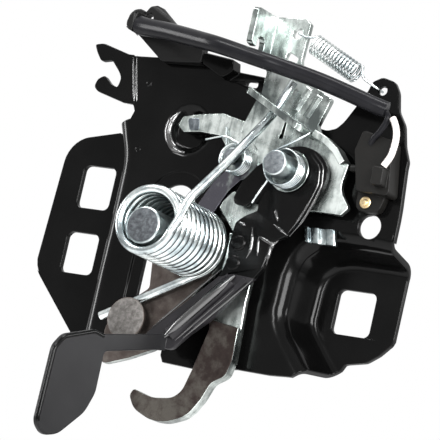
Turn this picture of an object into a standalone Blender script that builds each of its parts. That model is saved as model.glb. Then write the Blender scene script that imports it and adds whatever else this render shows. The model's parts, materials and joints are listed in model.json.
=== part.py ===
"""Bonnet latch: pressed base plate with levers, pins, springs, switch and lead.

Millimetres in the tables below, metres in Blender.  X runs to the right, Z up,
and the front of the latch faces -Y.  The rear face of the two fixing flanges
lies in the plane Y = 0, and the origin is on the left flange's rear face,
on the strip between its two windows.
"""
import math

import bpy
import bmesh
from mathutils import Matrix, Vector
from mathutils.geometry import tessellate_polygon

MM = 0.001

# Driving dimensions, in millimetres
SHEET = 2.5              # thickness of the base plate
WEB_DEPTH = 20.0         # from the fixing plane to the rear face of the web
SEAT = 0.3               # clearance between pieces that touch
RUN_FIT = 0.06           # radial running fit of a lever on its pin
ROUND = 24               # sides of a turned piece or a bore

LEVER_T = 2.5            # thickness of the release lever and the catch lever
FORK_T = 3.0             # thickness of the lifter and the pawl
HOOK_T = 5.0             # thickness of the safety hook
ARM_STEP = 2.5           # joggle of the catch lever in front of the hook
LEVER_SPACE = 1.0        # room between the release lever and the catch lever's hub

CENTRAL = (100.3, 23.0)  # axis of the catch lever and the release lever
CENTRAL_R = 4.85
CENTRAL_RING_W = 3.15    # width of the ring round the central pin
CENTRAL_RING_R = CENTRAL_R + CENTRAL_RING_W
CENTRAL_RING_T = 1.2
MAIN = (65.5, -10.5)     # axis of the lifter
MAIN_R = 7.0
PAWL = (75.0, 26.2)      # axis of the pawl
PAWL_R = 3.0
PIN_SHANK_K = 0.62       # riveted shank of a pin, as a share of its radius
PIN_HEAD_T = 1.6         # riveted head behind the web
PIN_HEAD_R = 2.2         # how far the riveted head stands out past the shank

STUD = (44.3, -39.9)     # disc stud on the lifter
STUD_R = 3.7
STUD_DISC_R = 8.0
STUD_DISC_T = 1.2
STUD_SHANK = 3.9

COIL = (65.5, -7.8)      # axis of the main torsion spring
COIL_R = 11.8
COIL_WIRE = 3.4
COIL_LENGTH = 39.0
COIL_TURNS = 11
CATCH_COIL_R = 6.9
CATCH_COIL_WIRE = 1.1
CATCH_COIL_TURNS = 5
PAWL_COIL = (76.3, 25.3)  # middle of the pawl's torsion spring, which hangs to one side of the pin
PAWL_COIL_R = 5.5
PAWL_COIL_WIRE = 1.1
PAWL_COIL_TURNS = 5
COIL_PITCH = 1.05        # pitch of the two small coils, as a share of their wire
RETURN_R = 3.5
RETURN_WIRE = 1.0
RETURN_TURNS = 14

DISH = (47.5, 36.3)
DISH_R = 10.0
DISH_DEPTH = 3.5
WINDOW_R = 2.5
WINDOWS = ((0.3, 13.3, 14.7, 17.2), (-0.4, -13.5, 14.5, 16.5), (123.2, -21.2, 15.7, 17.0))
ROUND_HOLE = (132.0, 8.3, 4.5)
LUG_HOLE = (125.3, 59.6, 1.8)
SLOT_X = 49.5
SLOT_W = 16.2
SLOT_TOP = 15.0
SLOT_MARGIN = 5.1        # width of the set-back margin beside the slot
SLOT_SINK = 0.8          # how far that margin is set back
DIMPLES = ((27.5, 26.8), (25.5, 52.5))
DIMPLE_R = 1.7
DIMPLE_SINK = 0.5
FOLD_X = 18.2            # fold line of the cable claw
CLAW_TOP = 40.0          # the claw lies above this height
CLAW_LEAN = 0.06         # how far the claw leans to the rear, per millimetre from its fold
PAD_T = 5.0              # height of the raised pad under the sleeve
LEVER_TOP = 82.5         # top edge of the release lever, with its cable flange and spring eye
PADDLE_END = -93.1       # lower end of the catch lever's paddle
PLATE_RIGHT = 143.2      # right edge of the base plate

SLEEVE_R = 3.1
SLEEVE_FLARE = 1.18      # the sleeve is this much wider at the connector
WIRE_R = 1.25

# Layers, measured forward from the fixing plane
WEB_FRONT = WEB_DEPTH + SHEET
L1 = WEB_FRONT + SEAT                 # rear face of the lifter and the pawl
L1_FRONT = L1 + FORK_T
L2 = L1_FRONT + SEAT                  # rear face of the release lever and the hook
L2_FRONT = L2 + LEVER_T
L3 = L2_FRONT + LEVER_SPACE           # rear face of the catch lever's hub
L3_FRONT = L3 + LEVER_T
HOOK_FRONT = L2 + HOOK_T
ARM_REAR = L3 + ARM_STEP
ARM_FRONT = ARM_REAR + LEVER_T
COIL_REAR = L1_FRONT + 2.2
COIL_FRONT = COIL_REAR + COIL_LENGTH
CENTRAL_TIP = WEB_FRONT + 23.5        # front ends of the three pins
MAIN_TIP = COIL_FRONT + 1.6
PAWL_TIP = WEB_FRONT + 11.5
SWITCH_FRONT = WEB_FRONT + 8.5
CONNECTOR_FRONT = WEB_FRONT + 4.6

X = Vector((1, 0, 0))
Y = Vector((0, 1, 0))
Z = Vector((0, 0, 1))
O = Vector((0, 0, 0))

for old in list(bpy.data.objects):
    bpy.data.objects.remove(old, do_unlink=True)


def material(name, rgb, rough, metal):
    mat = bpy.data.materials.new(name)
    mat.use_nodes = True
    shader = mat.node_tree.nodes["Principled BSDF"]
    shader.inputs["Base Color"].default_value = (*rgb, 1)
    shader.inputs["Roughness"].default_value = rough
    shader.inputs["Metallic"].default_value = metal
    mat.diffuse_color = (*rgb, 1)
    return mat


BLACK = material("black_coating", (0.008, 0.008, 0.009), 0.38, 0.0)
ZINC = material("zinc_plate", (0.55, 0.58, 0.57), 0.3, 1.0)
STEEL = material("bare_steel", (0.2, 0.18, 0.16), 0.42, 1.0)
PLASTIC = material("black_plastic", (0.01, 0.01, 0.011), 0.5, 0.0)
RUBBER = material("black_sleeve", (0.02, 0.02, 0.022), 0.55, 0.0)
WHITE = material("white_insulation", (0.68, 0.65, 0.63), 0.45, 0.0)
BRASS = material("brass", (0.6, 0.46, 0.27), 0.3, 1.0)


def corners(points, step=30.0):
    """Closed outline from corner points (a, b) or (a, b, radius)."""
    out = []
    count = len(points)
    for i, point in enumerate(points):
        here = Vector(point[:2])
        if len(point) == 2:
            out.append(here)
            continue
        before = Vector(points[i - 1][:2]) - here
        after = Vector(points[(i + 1) % count][:2]) - here
        half = before.angle(after) / 2
        reach = point[2] / math.tan(half)
        reach = min(reach, before.length * 0.49, after.length * 0.49)
        radius = reach * math.tan(half)
        middle = here + (before.normalized() + after.normalized()).normalized() * (radius / math.sin(half))
        first = here + before.normalized() * reach
        last = here + after.normalized() * reach
        turn = (first - middle).angle_signed(last - middle)
        steps = max(1, round(abs(math.degrees(turn)) / step))
        for k in range(steps + 1):
            spoke = (first - middle).copy()
            spoke.rotate(Matrix.Rotation(-turn * k / steps, 2))
            out.append(middle + spoke)
    return out


def ahead(x, depth, z):
    """Point at a depth in front of the web's front face."""
    return Vector((x, -(WEB_FRONT + depth), z))


def circle(centre, radius, sides=ROUND, start=0.0):
    return [Vector((centre[0] + radius * math.cos(start + 2 * math.pi * i / sides),
                    centre[1] + radius * math.sin(start + 2 * math.pi * i / sides)))
            for i in range(sides)]


def bore(radius, sides=ROUND):
    """Corner radius of a bore whose flats clear a round of this radius."""
    return (radius + RUN_FIT) / math.cos(math.pi / sides)


def box_loop(x, z, w, h, r):
    return corners([(x - w / 2, z - h / 2, r), (x + w / 2, z - h / 2, r),
                    (x + w / 2, z + h / 2, r), (x - w / 2, z + h / 2, r)])


def new_object(name, bm, mat, smooth=True):
    bmesh.ops.recalc_face_normals(bm, faces=bm.faces)
    mesh = bpy.data.meshes.new(name)
    bm.to_mesh(mesh)
    bm.free()
    obj = bpy.data.objects.new(name, mesh)
    bpy.context.collection.objects.link(obj)
    mesh.materials.append(mat)
    if smooth:
        mesh.shade_smooth()
        mesh.set_sharp_from_angle(angle=math.radians(35))
    return obj


def slab_mesh(loops, low, high, origin=O, u=X, v=Z, n=Y):
    """bmesh prism: loops in the (u, v) plane, from low to high along n."""
    bm = bmesh.new()
    loops3 = [[Vector((p[0], p[1], 0)) for p in loop] for loop in loops]
    tris = tessellate_polygon(loops3)
    flat = [p for loop in loops3 for p in loop]
    rings = []
    for t in (low, high):
        rings.append([bm.verts.new((origin + u * p.x + v * p.y + n * t) * MM) for p in flat])
    for a, b, c in tris:
        bm.faces.new((rings[0][a], rings[0][b], rings[0][c]))
        bm.faces.new((rings[1][c], rings[1][b], rings[1][a]))
    start = 0
    for loop in loops3:
        size = len(loop)
        for i in range(size):
            a, b = start + i, start + (i + 1) % size
            bm.faces.new((rings[0][a], rings[0][b], rings[1][b], rings[1][a]))
        start += size
    return bm


def plate(name, loops, rear, front, mat):
    """Flat plate in the XZ plane between two depths forward of the fixing plane."""
    return new_object(name, slab_mesh(loops, -front, -rear), mat)


def joggle(obj, direction, begin, end, step, pivot):
    """Shift everything beyond a bend forward by a step."""
    bm = bmesh.new()
    bm.from_mesh(obj.data)
    way = Vector((direction[0], 0, direction[1])).normalized()
    base = Vector((pivot[0], 0, pivot[1])) * MM
    for reach in (begin, end):
        bmesh.ops.bisect_plane(bm, geom=bm.verts[:] + bm.edges[:] + bm.faces[:], dist=1e-7,
                               plane_co=base + way * reach * MM, plane_no=way)
    for vert in bm.verts:
        reach = (vert.co - base).dot(way) / MM
        share = min(max((reach - begin) / (end - begin), 0.0), 1.0)
        vert.co.y -= step * share * MM
    bmesh.ops.triangulate(bm, faces=[f for f in bm.faces if len(f.verts) > 3])
    bm.to_mesh(obj.data)
    bm.free()
    obj.data.set_sharp_from_angle(angle=math.radians(35))


def turned(name, centre, profile, mat, sides=ROUND):
    """Solid of revolution about an axis along Y; profile is (depth, radius), rear to front."""
    bm = bmesh.new()
    rings = []
    for depth, radius in profile:
        if radius == 0:
            rings.append([bm.verts.new(Vector((centre[0], -depth, centre[1])) * MM)])
            continue
        rings.append([bm.verts.new(Vector((p.x, -depth, p.y)) * MM)
                      for p in circle(centre, radius, sides)])
    for a, b in zip(rings, rings[1:]):
        for i in range(sides):
            j = (i + 1) % sides
            face = [a[i % len(a)], a[j % len(a)], b[j % len(b)], b[i % len(b)]]
            bm.faces.new(list(dict.fromkeys(face)))
    for ring in (rings[0], rings[-1]):
        if len(ring) > 1:
            bm.faces.new(ring)
    return new_object(name, bm, mat)


def ring_piece(name, centre, inner, outer, rear, front, mat, sides=ROUND):
    return plate(name, [circle(centre, outer, sides), circle(centre, inner, sides)], rear, front, mat)


def smooth_route(points, spacing):
    """Points read from a smooth curve through the route's own points."""
    pts = [Vector(p) for p in points]
    pts = [pts[0] * 2 - pts[1]] + pts + [pts[-1] * 2 - pts[-2]]
    out = []
    for i in range(1, len(pts) - 2):
        p0, p1, p2, p3 = pts[i - 1:i + 3]
        count = max(2, round((p2 - p1).length / spacing))
        for k in range(count):
            t = k / count
            out.append(0.5 * ((2 * p1) + (p2 - p0) * t + (2 * p0 - 5 * p1 + 4 * p2 - p3) * t * t
                              + (3 * p1 - 3 * p2 + p3 - p0) * t ** 3))
    out.append(pts[-2])
    return out


def wire(name, points, radius, mat, resolution=2, flare=1.0, settle=1):
    """Round wire or lead along points given in millimetres.
    Its first end may be wider by flare, and it settles to its radius after some points."""
    curve = bpy.data.curves.new(name, "CURVE")
    curve.dimensions = "3D"
    curve.bevel_depth = radius * MM
    curve.bevel_resolution = resolution
    curve.use_fill_caps = True
    spline = curve.splines.new("POLY")
    spline.points.add(len(points) - 1)
    for i, (target, point) in enumerate(zip(spline.points, points)):
        target.co = (*(Vector(point) * MM), 1)
        target.radius = 1.0 + (flare - 1.0) * max(0.0, 1.0 - i / settle)
    obj = bpy.data.objects.new(name, curve)
    bpy.context.collection.objects.link(obj)
    curve.materials.append(mat)
    return obj


def coil(centre, radius, rear, front, start_deg, turn_deg, per_turn=16):
    """Points along a helix about an axis parallel to Y, from the rear to the front."""
    steps = max(4, round(abs(turn_deg) / 360 * per_turn))
    out = []
    for i in range(steps + 1):
        a = math.radians(start_deg + turn_deg * i / steps)
        depth = rear + (front - rear) * i / steps
        out.append(Vector((centre[0] + radius * math.cos(a), -depth, centre[1] + radius * math.sin(a))))
    return out


def merge(target, other, operation):
    """Boolean with a helper that is left out of the build."""
    other.hide_render = True
    other.display_type = "WIRE"
    cut = target.modifiers.new(other.name, "BOOLEAN")
    cut.operation = operation
    cut.solver = "EXACT"
    cut.object = other


def put_origin(obj, axis):
    """Object origin onto its joint's axis."""
    at = Vector((axis[0], 0, axis[1])) * MM
    obj.data.transform(Matrix.Translation(-at))
    obj.location = at


# Base plate
def base_plate():
    half = SHEET / 2
    web_y = -(WEB_DEPTH + half)
    face_y = -half
    bend = 2.2
    tight = 0.6

    def wall_rows(front_line, rear_line):
        """Six rows of points that carry a rounded step from the web to a flange."""
        rows = [[], [], [], [], [], []]
        count = len(front_line)
        for i in range(count):
            a, b = Vector(front_line[i]), Vector(rear_line[i])
            before = Vector(front_line[max(i - 1, 0)])
            after = Vector(front_line[min(i + 1, count - 1)])
            along = (after - before).normalized()
            side = Vector((along.y, -along.x))
            if side.dot(b - a) < 0:
                side = -side
            spots = ((a - side * bend, web_y), (a - side * tight, web_y + tight),
                     (a, web_y + bend), (b, face_y - bend),
                     (b + side * tight, face_y - tight), (b + side * bend, face_y))
            for row, (p, depth) in zip(rows, spots):
                row.append((p.x, depth, p.y))
        return rows

    left = wall_rows([(22.5, -50), (22.5, -15), (22.4, 23), (16.9, 36.7)],
                     [(18.5, -50), (18.5, -15), (18.4, 23), (12.9, 36.7)])
    right = wall_rows([(142.1, 1.5), (130, 2.0), (118.2, 2.3), (110.5, -0.6), (105.6, -5.6),
                       (103.6, -11), (102.7, -28), (105.2, -34.2), (112.5, -42.6), (117.9, -49)],
                      [(142.1, -1.8), (130, -1.7), (119.6, -1.6), (112.2, -3.4), (107.3, -7.4),
                       (105.7, -12.2), (104.9, -27), (107.3, -32.6), (114.2, -40.6), (119.4, -46)])

    bm = bmesh.new()

    def add(points):
        return [bm.verts.new(Vector(p) * MM) for p in points]

    def fill(loops):
        flat = [add(loop) for loop in loops]
        tris = tessellate_polygon([[Vector((p[0], p[2], 0)) for p in loop] for loop in loops])
        every = [v for loop in flat for v in loop]
        for a, b, c in tris:
            bm.faces.new((every[a], every[b], every[c]))

    def at_web(points):
        return [(p[0], web_y, p[1]) for p in points]

    for rows in (left, right):
        for low, high in zip(rows, rows[1:]):
            a, b = add(low), add(high)
            for i in range(len(a) - 1):
                bm.faces.new((a[i], a[i + 1], b[i + 1], b[i]))

    outline = [p for p in left[0]]
    outline += at_web([(21.9, 41.3), (20.7, 44), (15.6, 44.3), (3.2, 47.5), (1.2, 49.4), (2.2, 52.6),
                       (5.1, 54.2), (8.6, 51), (11.6, 50), (12.1, 51.2), (12.5, 53.8), (11.1, 56),
                       (6.7, 60.5), (1.8, 59.6), (-1, 63.1), (-2.7, 66.2), (1.3, 66.9), (15.6, 63.1),
                       (26.5, 63.5), (46.7, 67), (61, 65), (61, 61.2), (75.6, 60), (91.3, 47.9),
                       (101.8, 43.1), (106, 42.2), (109.8, 43.4), (112.6, 46.6), (119.4, 58.9),
                       (120.4, 62.6), (124.3, 64.7), (129.6, 63.4), (132, 59.7), (133.6, 52.6),
                       (137.2, 47.6), (139.2, 39.8), (141.8, 34), (141.7, 31.7), (PLATE_RIGHT - 0.2, 16.7),
                       (PLATE_RIGHT, 12.2), (PLATE_RIGHT, 1.7)])
    outline += [p for p in right[0]]
    outline += at_web([(112.2, -50.9), (104.3, -51.5), (90.3, -51.3), (73.3, -53.7), (59, -53.1),
                       (56.6, -48.8), (43.5, -50)])
    dish_rim = circle(DISH, DISH_R)
    fill([outline, at_web(dish_rim)])
    last = at_web(dish_rim)
    for radius, sink in ((DISH_R - 0.8, 0.3), (DISH_R - 1.6, 1.2), (DISH_R - 2.6, DISH_DEPTH - 0.6),
                         (DISH_R - 3.6, DISH_DEPTH)):
        ring = [(p.x, web_y + sink, p.y) for p in circle(DISH, radius)]
        a, b = add(last), add(ring)
        for i in range(ROUND):
            j = (i + 1) % ROUND
            bm.faces.new((a[i], a[j], b[j], b[i]))
        last = ring
    fill([last])

    flange = corners([(12.9, 36.7), (5.3, 36.4), (-17.0, 31.2, 12), (-19.2, -18),
                      (-18.5, -20.7), (-16.5, -24.5), (4, -45.3), (9, -50, 3), (16.3, -50)])
    flange = [(p.x, face_y, p.y) for p in flange[1:-1]]
    fill([[p for p in left[5]] + flange])
    pad = corners([(117.6, -46), (119.0, -44.2), (124.5, -40.5, 3), (132.5, -38.8, 3), (137.1, -35.4),
                   (141.0, -31.1), (141.8, -29.1), (141.5, -5)])
    pad = [(p.x, face_y, p.y) for p in pad[2:]]
    fill([[p for p in right[5]] + pad])

    bmesh.ops.remove_doubles(bm, verts=bm.verts, dist=1e-6)
    web = [f for f in bm.faces if all(v.co.y < (web_y + 0.1) * MM for v in f.verts)]
    parts = web + list({e for f in web for e in f.edges}) + list({v for f in web for v in f.verts})
    bmesh.ops.bisect_plane(bm, geom=parts, dist=1e-7, plane_co=Vector((FOLD_X, 0, 0)) * MM, plane_no=X)
    bmesh.ops.triangulate(bm, faces=[f for f in bm.faces if len(f.verts) > 4])
    for vert in bm.verts:
        if vert.co.z > CLAW_TOP * MM and vert.co.x < FOLD_X * MM:
            vert.co.y += (FOLD_X * MM - vert.co.x) * CLAW_LEAN
    obj = new_object("base_plate", bm, BLACK)
    solid = obj.modifiers.new("sheet", "SOLIDIFY")
    solid.thickness = SHEET * MM
    solid.offset = 0
    solid.use_even_offset = True

    cuts = []
    for i, (x, z, w, h) in enumerate(WINDOWS):
        cuts.append(plate("cut_window_%d" % i, [box_loop(x, z, w, h, WINDOW_R)], -2, SHEET + 2, BLACK))
    half_slot = SLOT_W / 2
    arch_z = SLOT_TOP - half_slot
    below = -60

    def arch(radius, first_deg):
        """Points over the slot's top, from an angle on the right round to the left."""
        turns = [math.radians(first_deg + (180 - first_deg) * k / 12) for k in range(13)]
        return [(SLOT_X + radius * math.cos(a), arch_z + radius * math.sin(a)) for a in turns]

    slot = [(SLOT_X - half_slot, below), (SLOT_X + half_slot, below)] + arch(half_slot, 0)
    web_cut = (WEB_DEPTH - 2, WEB_FRONT + 2)
    edge = half_slot + SLOT_MARGIN
    margin = [(SLOT_X - edge, below), (SLOT_X, below), (SLOT_X, arch_z)] + arch(edge, 38)
    cuts.append(plate("cut_margin", [margin], WEB_FRONT - SLOT_SINK, WEB_FRONT + 2, BLACK))
    for i, spot in enumerate(DIMPLES):
        cuts.append(plate("cut_dimple_%d" % i, [circle(spot, DIMPLE_R, 12)], WEB_FRONT - DIMPLE_SINK,
                          WEB_FRONT + 2, BLACK))
    cuts.append(plate("cut_slot", [slot], *web_cut, BLACK))
    cuts.append(plate("cut_round_hole", [circle(ROUND_HOLE, ROUND_HOLE[2])], *web_cut, BLACK))
    cuts.append(plate("cut_lug_hole", [circle(LUG_HOLE, LUG_HOLE[2], 12)], *web_cut, BLACK))
    cuts.append(plate("cut_hook_hole", [corners([(68, 55.5, 0.8), (73, 55.5, 0.8), (73, 57.8, 0.8),
                                                 (68, 57.8, 0.8)])], *web_cut, BLACK))
    for i, (axis, radius) in enumerate(((CENTRAL, CENTRAL_R), (MAIN, MAIN_R), (PAWL, PAWL_R))):
        hole = bore(radius * PIN_SHANK_K)
        cuts.append(plate("cut_pin_%d" % i, [circle(axis, hole)], *web_cut, BLACK))
    for cut in cuts:
        merge(obj, cut, "DIFFERENCE")
    raised = corners([(49.8, 61.9, 1), (59.8, 56.9, 1.5), (63.9, 60.0, 1), (63.0, 64.4), (49.8, 66.1)])
    merge(obj, plate("raised_pad", [raised], WEB_FRONT - SHEET / 2, WEB_FRONT + PAD_T, BLACK), "UNION")


def pin(name, axis, radius, tip, mat, chamfer=0.8):
    """Pin riveted through the web, with its shoulder on the web's front face."""
    shank = radius * PIN_SHANK_K
    rear = WEB_DEPTH - SEAT
    return turned(name, axis, [(rear - PIN_HEAD_T, shank + PIN_HEAD_R - 0.6),
                               (rear - PIN_HEAD_T + 0.6, shank + PIN_HEAD_R),
                               (rear, shank + PIN_HEAD_R), (rear, shank),
                               (WEB_FRONT + 0.1, shank), (WEB_FRONT + 0.1, radius),
                               (tip - chamfer, radius), (tip, radius - chamfer)], mat)


def pins():
    pin("central_pin", CENTRAL, CENTRAL_R, CENTRAL_TIP, ZINC)
    pin("main_pin", MAIN, MAIN_R, MAIN_TIP, ZINC, 1.2)
    pin("pawl_pin", PAWL, PAWL_R, PAWL_TIP, ZINC, 0.5)
    ring_piece("central_ring", CENTRAL, bore(CENTRAL_R), CENTRAL_RING_R, L3_FRONT + SEAT,
               L3_FRONT + SEAT + CENTRAL_RING_T, ZINC)


# Lifter on the main pin
def lifter():
    hub = circle(MAIN, 11.0, 24)
    blade = corners([(60.5, -3.0), (46.9, -15.5, 2), (48.4, -26.6, 2), (36.6, -36.4, 3), (33.2, -44, 3),
                     (34.7, -58.1, 2), (46.1, -54.1, 1), (56.7, -49.1, 2), (58.5, -40.0, 3),
                     (66.0, -29.5, 3), (74.0, -18.0)])
    obj = plate("lifter", [blade], L1, L1_FRONT, STEEL)
    disc = plate("lifter_hub", [hub], L1, L1_FRONT, STEEL)
    merge(obj, disc, "UNION")
    cut = plate("cut_lifter_bore", [circle(MAIN, bore(MAIN_R))], L1 - 1, L1_FRONT + 1, STEEL)
    merge(obj, cut, "DIFFERENCE")
    hole = plate("cut_lifter_stud", [circle(STUD, bore(STUD_R * PIN_SHANK_K))], L1 - 1, L1_FRONT + 1, STEEL)
    merge(obj, hole, "DIFFERENCE")
    put_origin(obj, MAIN)
    shank = STUD_R * PIN_SHANK_K
    disc_rear = L1_FRONT + STUD_SHANK
    stud = turned("lifter_stud", STUD, [(L1 + 0.2, shank), (L1_FRONT + 0.1, shank), (L1_FRONT + 0.1, STUD_R),
                                        (disc_rear, STUD_R), (disc_rear, STUD_DISC_R),
                                        (disc_rear + STUD_DISC_T, STUD_DISC_R)], STEEL)
    put_origin(stud, MAIN)


# Pawl
def pawl():
    foot = corners([(58.7, 3.2, 1), (66.2, 2.0, 1), (69.2, 7.0), (72.8, 14.5), (79.5, 22.0),
                    (77.0, 31.0), (73.0, 34.2), (69, 24)])
    obj = plate("pawl", [foot], L1, L1_FRONT, ZINC)
    hub = plate("pawl_hub", [circle(PAWL, 7.6)], L1, L1_FRONT, ZINC)
    merge(obj, hub, "UNION")
    arm = plate("pawl_arm", [corners([(80.0, 31.0), (77.0, 40.2, 2), (72.6, 41.5), (62.9, 43.6, 3),
                                      (53.2, 42.2), (46.0, 40.7, 1), (44.8, 37.0), (47.6, 34.7, 1),
                                      (55.1, 35.5), (63.8, 35.0), (70.0, 28.0)])], L1, L1_FRONT, ZINC)
    merge(obj, arm, "UNION")
    tip = plate("pawl_tip", [corners([(45.2, 35.6, 0.8), (51.0, 35.6, 0.8), (51.0, 40.6, 0.8),
                                      (45.2, 40.6, 0.8)])],
                WEB_FRONT - DISH_DEPTH + 0.6, L1 + 1.0, ZINC)
    merge(obj, tip, "UNION")
    cut = plate("cut_pawl_bore", [circle(PAWL, bore(PAWL_R))], L1 - 1, L1_FRONT + 1, ZINC)
    merge(obj, cut, "DIFFERENCE")
    put_origin(obj, PAWL)


# Release lever
SHELF_A = (77.6, 51.4)
SHELF_B = (104.8, 37.8)
SHELF_REACH = 12.0
SHELF_SLOT = (11.4, 20.4, 9.2, 2.4)        # slot for the main spring's leg: its ends, depth and front web
EYE = (88.5, LEVER_TOP - 6.1, 2.15)        # return spring's eye in the release lever
FLANGE_DEPTHS = (21.5, 17.5, 11.5)         # front edge of the cable flange and its slot, from the web
KEYHOLE = ((91.1, 36.6), (91.8, 42.3), 0.9, 0.35)
RIBS = (((98.5, 56.0), (94.6, 47.2)), ((103.4, 53.4), (99.6, 45.0)))
RIB_HALF = 1.3
RIB_H = 0.9


def release_lever():
    body = corners([(76.2, LEVER_TOP - 0.3, 0.8), (90.9, LEVER_TOP, 1.0), (93.1, LEVER_TOP - 1.8),
                    (92.5, 65.5, 3), (97.0, 58.5, 3),
                    (108.7, 52.9, 1.0), (105.4, 42.5), (106.6, 39.9), (112.0, 37.6), (117.4, 34.0),
                    (121.4, 29.4, 1.0), (119.9, 19.7, 6), (125.2, 13.1, 1.5), (122.4, 9.9, 1.0),
                    (111.1, 10.2, 3), (98.0, 8.4, 4), (88.5, 14.0, 5), (84.0, 23.0, 6), (82.5, 31.0, 4),
                    (73.9, 36.4, 1), (74.3, 40.1), (77.8, 50.6), (78.7, 51.9), (79.0, 60.3), (76.2, 65.5)])
    hole = circle(CENTRAL, bore(CENTRAL_R))
    slot = corners([(85.5, 66.6, 0.8), (90.3, 64.4, 0.8), (91.2, 67.0, 0.8), (86.4, 69.4, 0.8)])
    eye = circle(EYE, EYE[2], 12)
    foot, top, round_r, slit = KEYHOLE
    keyhole = circle(foot, round_r, 10, math.radians(108))[:-2]
    keyhole += [Vector((top[0] + slit, top[1])), Vector((top[0] - slit, top[1]))]
    obj = plate("release_lever", [body, hole, slot, eye, keyhole], L2, L2_FRONT, ZINC)
    for i, (high, low) in enumerate(RIBS):
        line = Vector((low[0] - high[0], 0, low[1] - high[1]))
        section = [(-RIB_HALF, L2_FRONT - 0.4), (RIB_HALF, L2_FRONT - 0.4), (RIB_HALF, L2_FRONT + 0.3),
                   (RIB_HALF * 0.4, L2_FRONT + RIB_H), (-RIB_HALF * 0.4, L2_FRONT + RIB_H),
                   (-RIB_HALF, L2_FRONT + 0.3)]
        way = line.normalized()
        rib = slab_mesh([section], 0, line.length, Vector((high[0], 0, high[1])), way.cross(Y), -Y, way)
        merge(obj, new_object("lever_rib_%d" % i, rib, ZINC), "UNION")

    along = Vector((SHELF_B[0] - SHELF_A[0], 0, SHELF_B[1] - SHELF_A[1]))
    length = along.length
    along.normalize()
    across = Vector((-along.z, 0, along.x))
    base = Vector((SHELF_A[0], 0, SHELF_A[1]))
    reach = L2_FRONT + SHELF_REACH
    shelf_loop = corners([(0.8, L2 + 0.6), (length, L2 + 0.6), (length, reach, 3), (0.8, reach, 3)])
    shelf = new_object("shelf", slab_mesh([shelf_loop], -LEVER_T / 2, LEVER_T / 2,
                                          base, along, -Y, across), ZINC)
    merge(obj, shelf, "UNION")
    first, last, back, web = SHELF_SLOT
    notch_loop = corners([(first, reach - back, 1.5), (last, reach - back, 1.5), (last, reach - web, 1.5),
                          (first, reach - web, 1.5)])
    notch = new_object("cut_shelf", slab_mesh([notch_loop], -4, 4, base, along, -Y, across), ZINC)
    merge(obj, notch, "DIFFERENCE")

    front, slot_front, slot_rear = [WEB_FRONT + depth for depth in FLANGE_DEPTHS]
    side_loop = corners([(L2 + 0.6, LEVER_TOP - 0.5), (front, LEVER_TOP - 1.0, 1.5), (front, 67.5, 1.5),
                         (slot_front, 66.8, 0.6),
                         (slot_front, 71.6, 2.4), (slot_rear, 71.6, 2.4), (slot_rear, 64.6, 2),
                         (L2 + 0.6, 62.0)])
    side = new_object("side_flange", slab_mesh([side_loop], 0, LEVER_T,
                                               Vector((76.2, 0, 0)), -Y, Z, X), ZINC)
    merge(obj, side, "UNION")

    rim_line = [(106.6, 39.9), (112.0, 37.6), (117.4, 34.0), (121.4, 29.4)]
    inner = [(105.6, 37.6), (110.8, 35.3), (115.7, 32.0), (119.4, 27.8)]
    rim = plate("rim_flange", [[Vector(p) for p in rim_line] + [Vector(p) for p in inner[::-1]]],
                L2 + 0.6, L2_FRONT + 4.0, ZINC)
    merge(obj, rim, "UNION")
    put_origin(obj, CENTRAL)


# Catch lever with its paddle, and the hook
NECK_FOOT = (65.0, -46.5)
NECK_TURN = math.radians(15)
PADDLE_T = 2.2
RIVETS = ((86.9, -6.4), (86.4, -14.0))
RIVET_R = 2.0
STEP_BEGIN = 19.2                  # joggle of the catch lever, from the central pin's axis
STEP_END = 25.2
THIN_Z = -2.4                      # above this the hook is as thin as the levers


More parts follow.
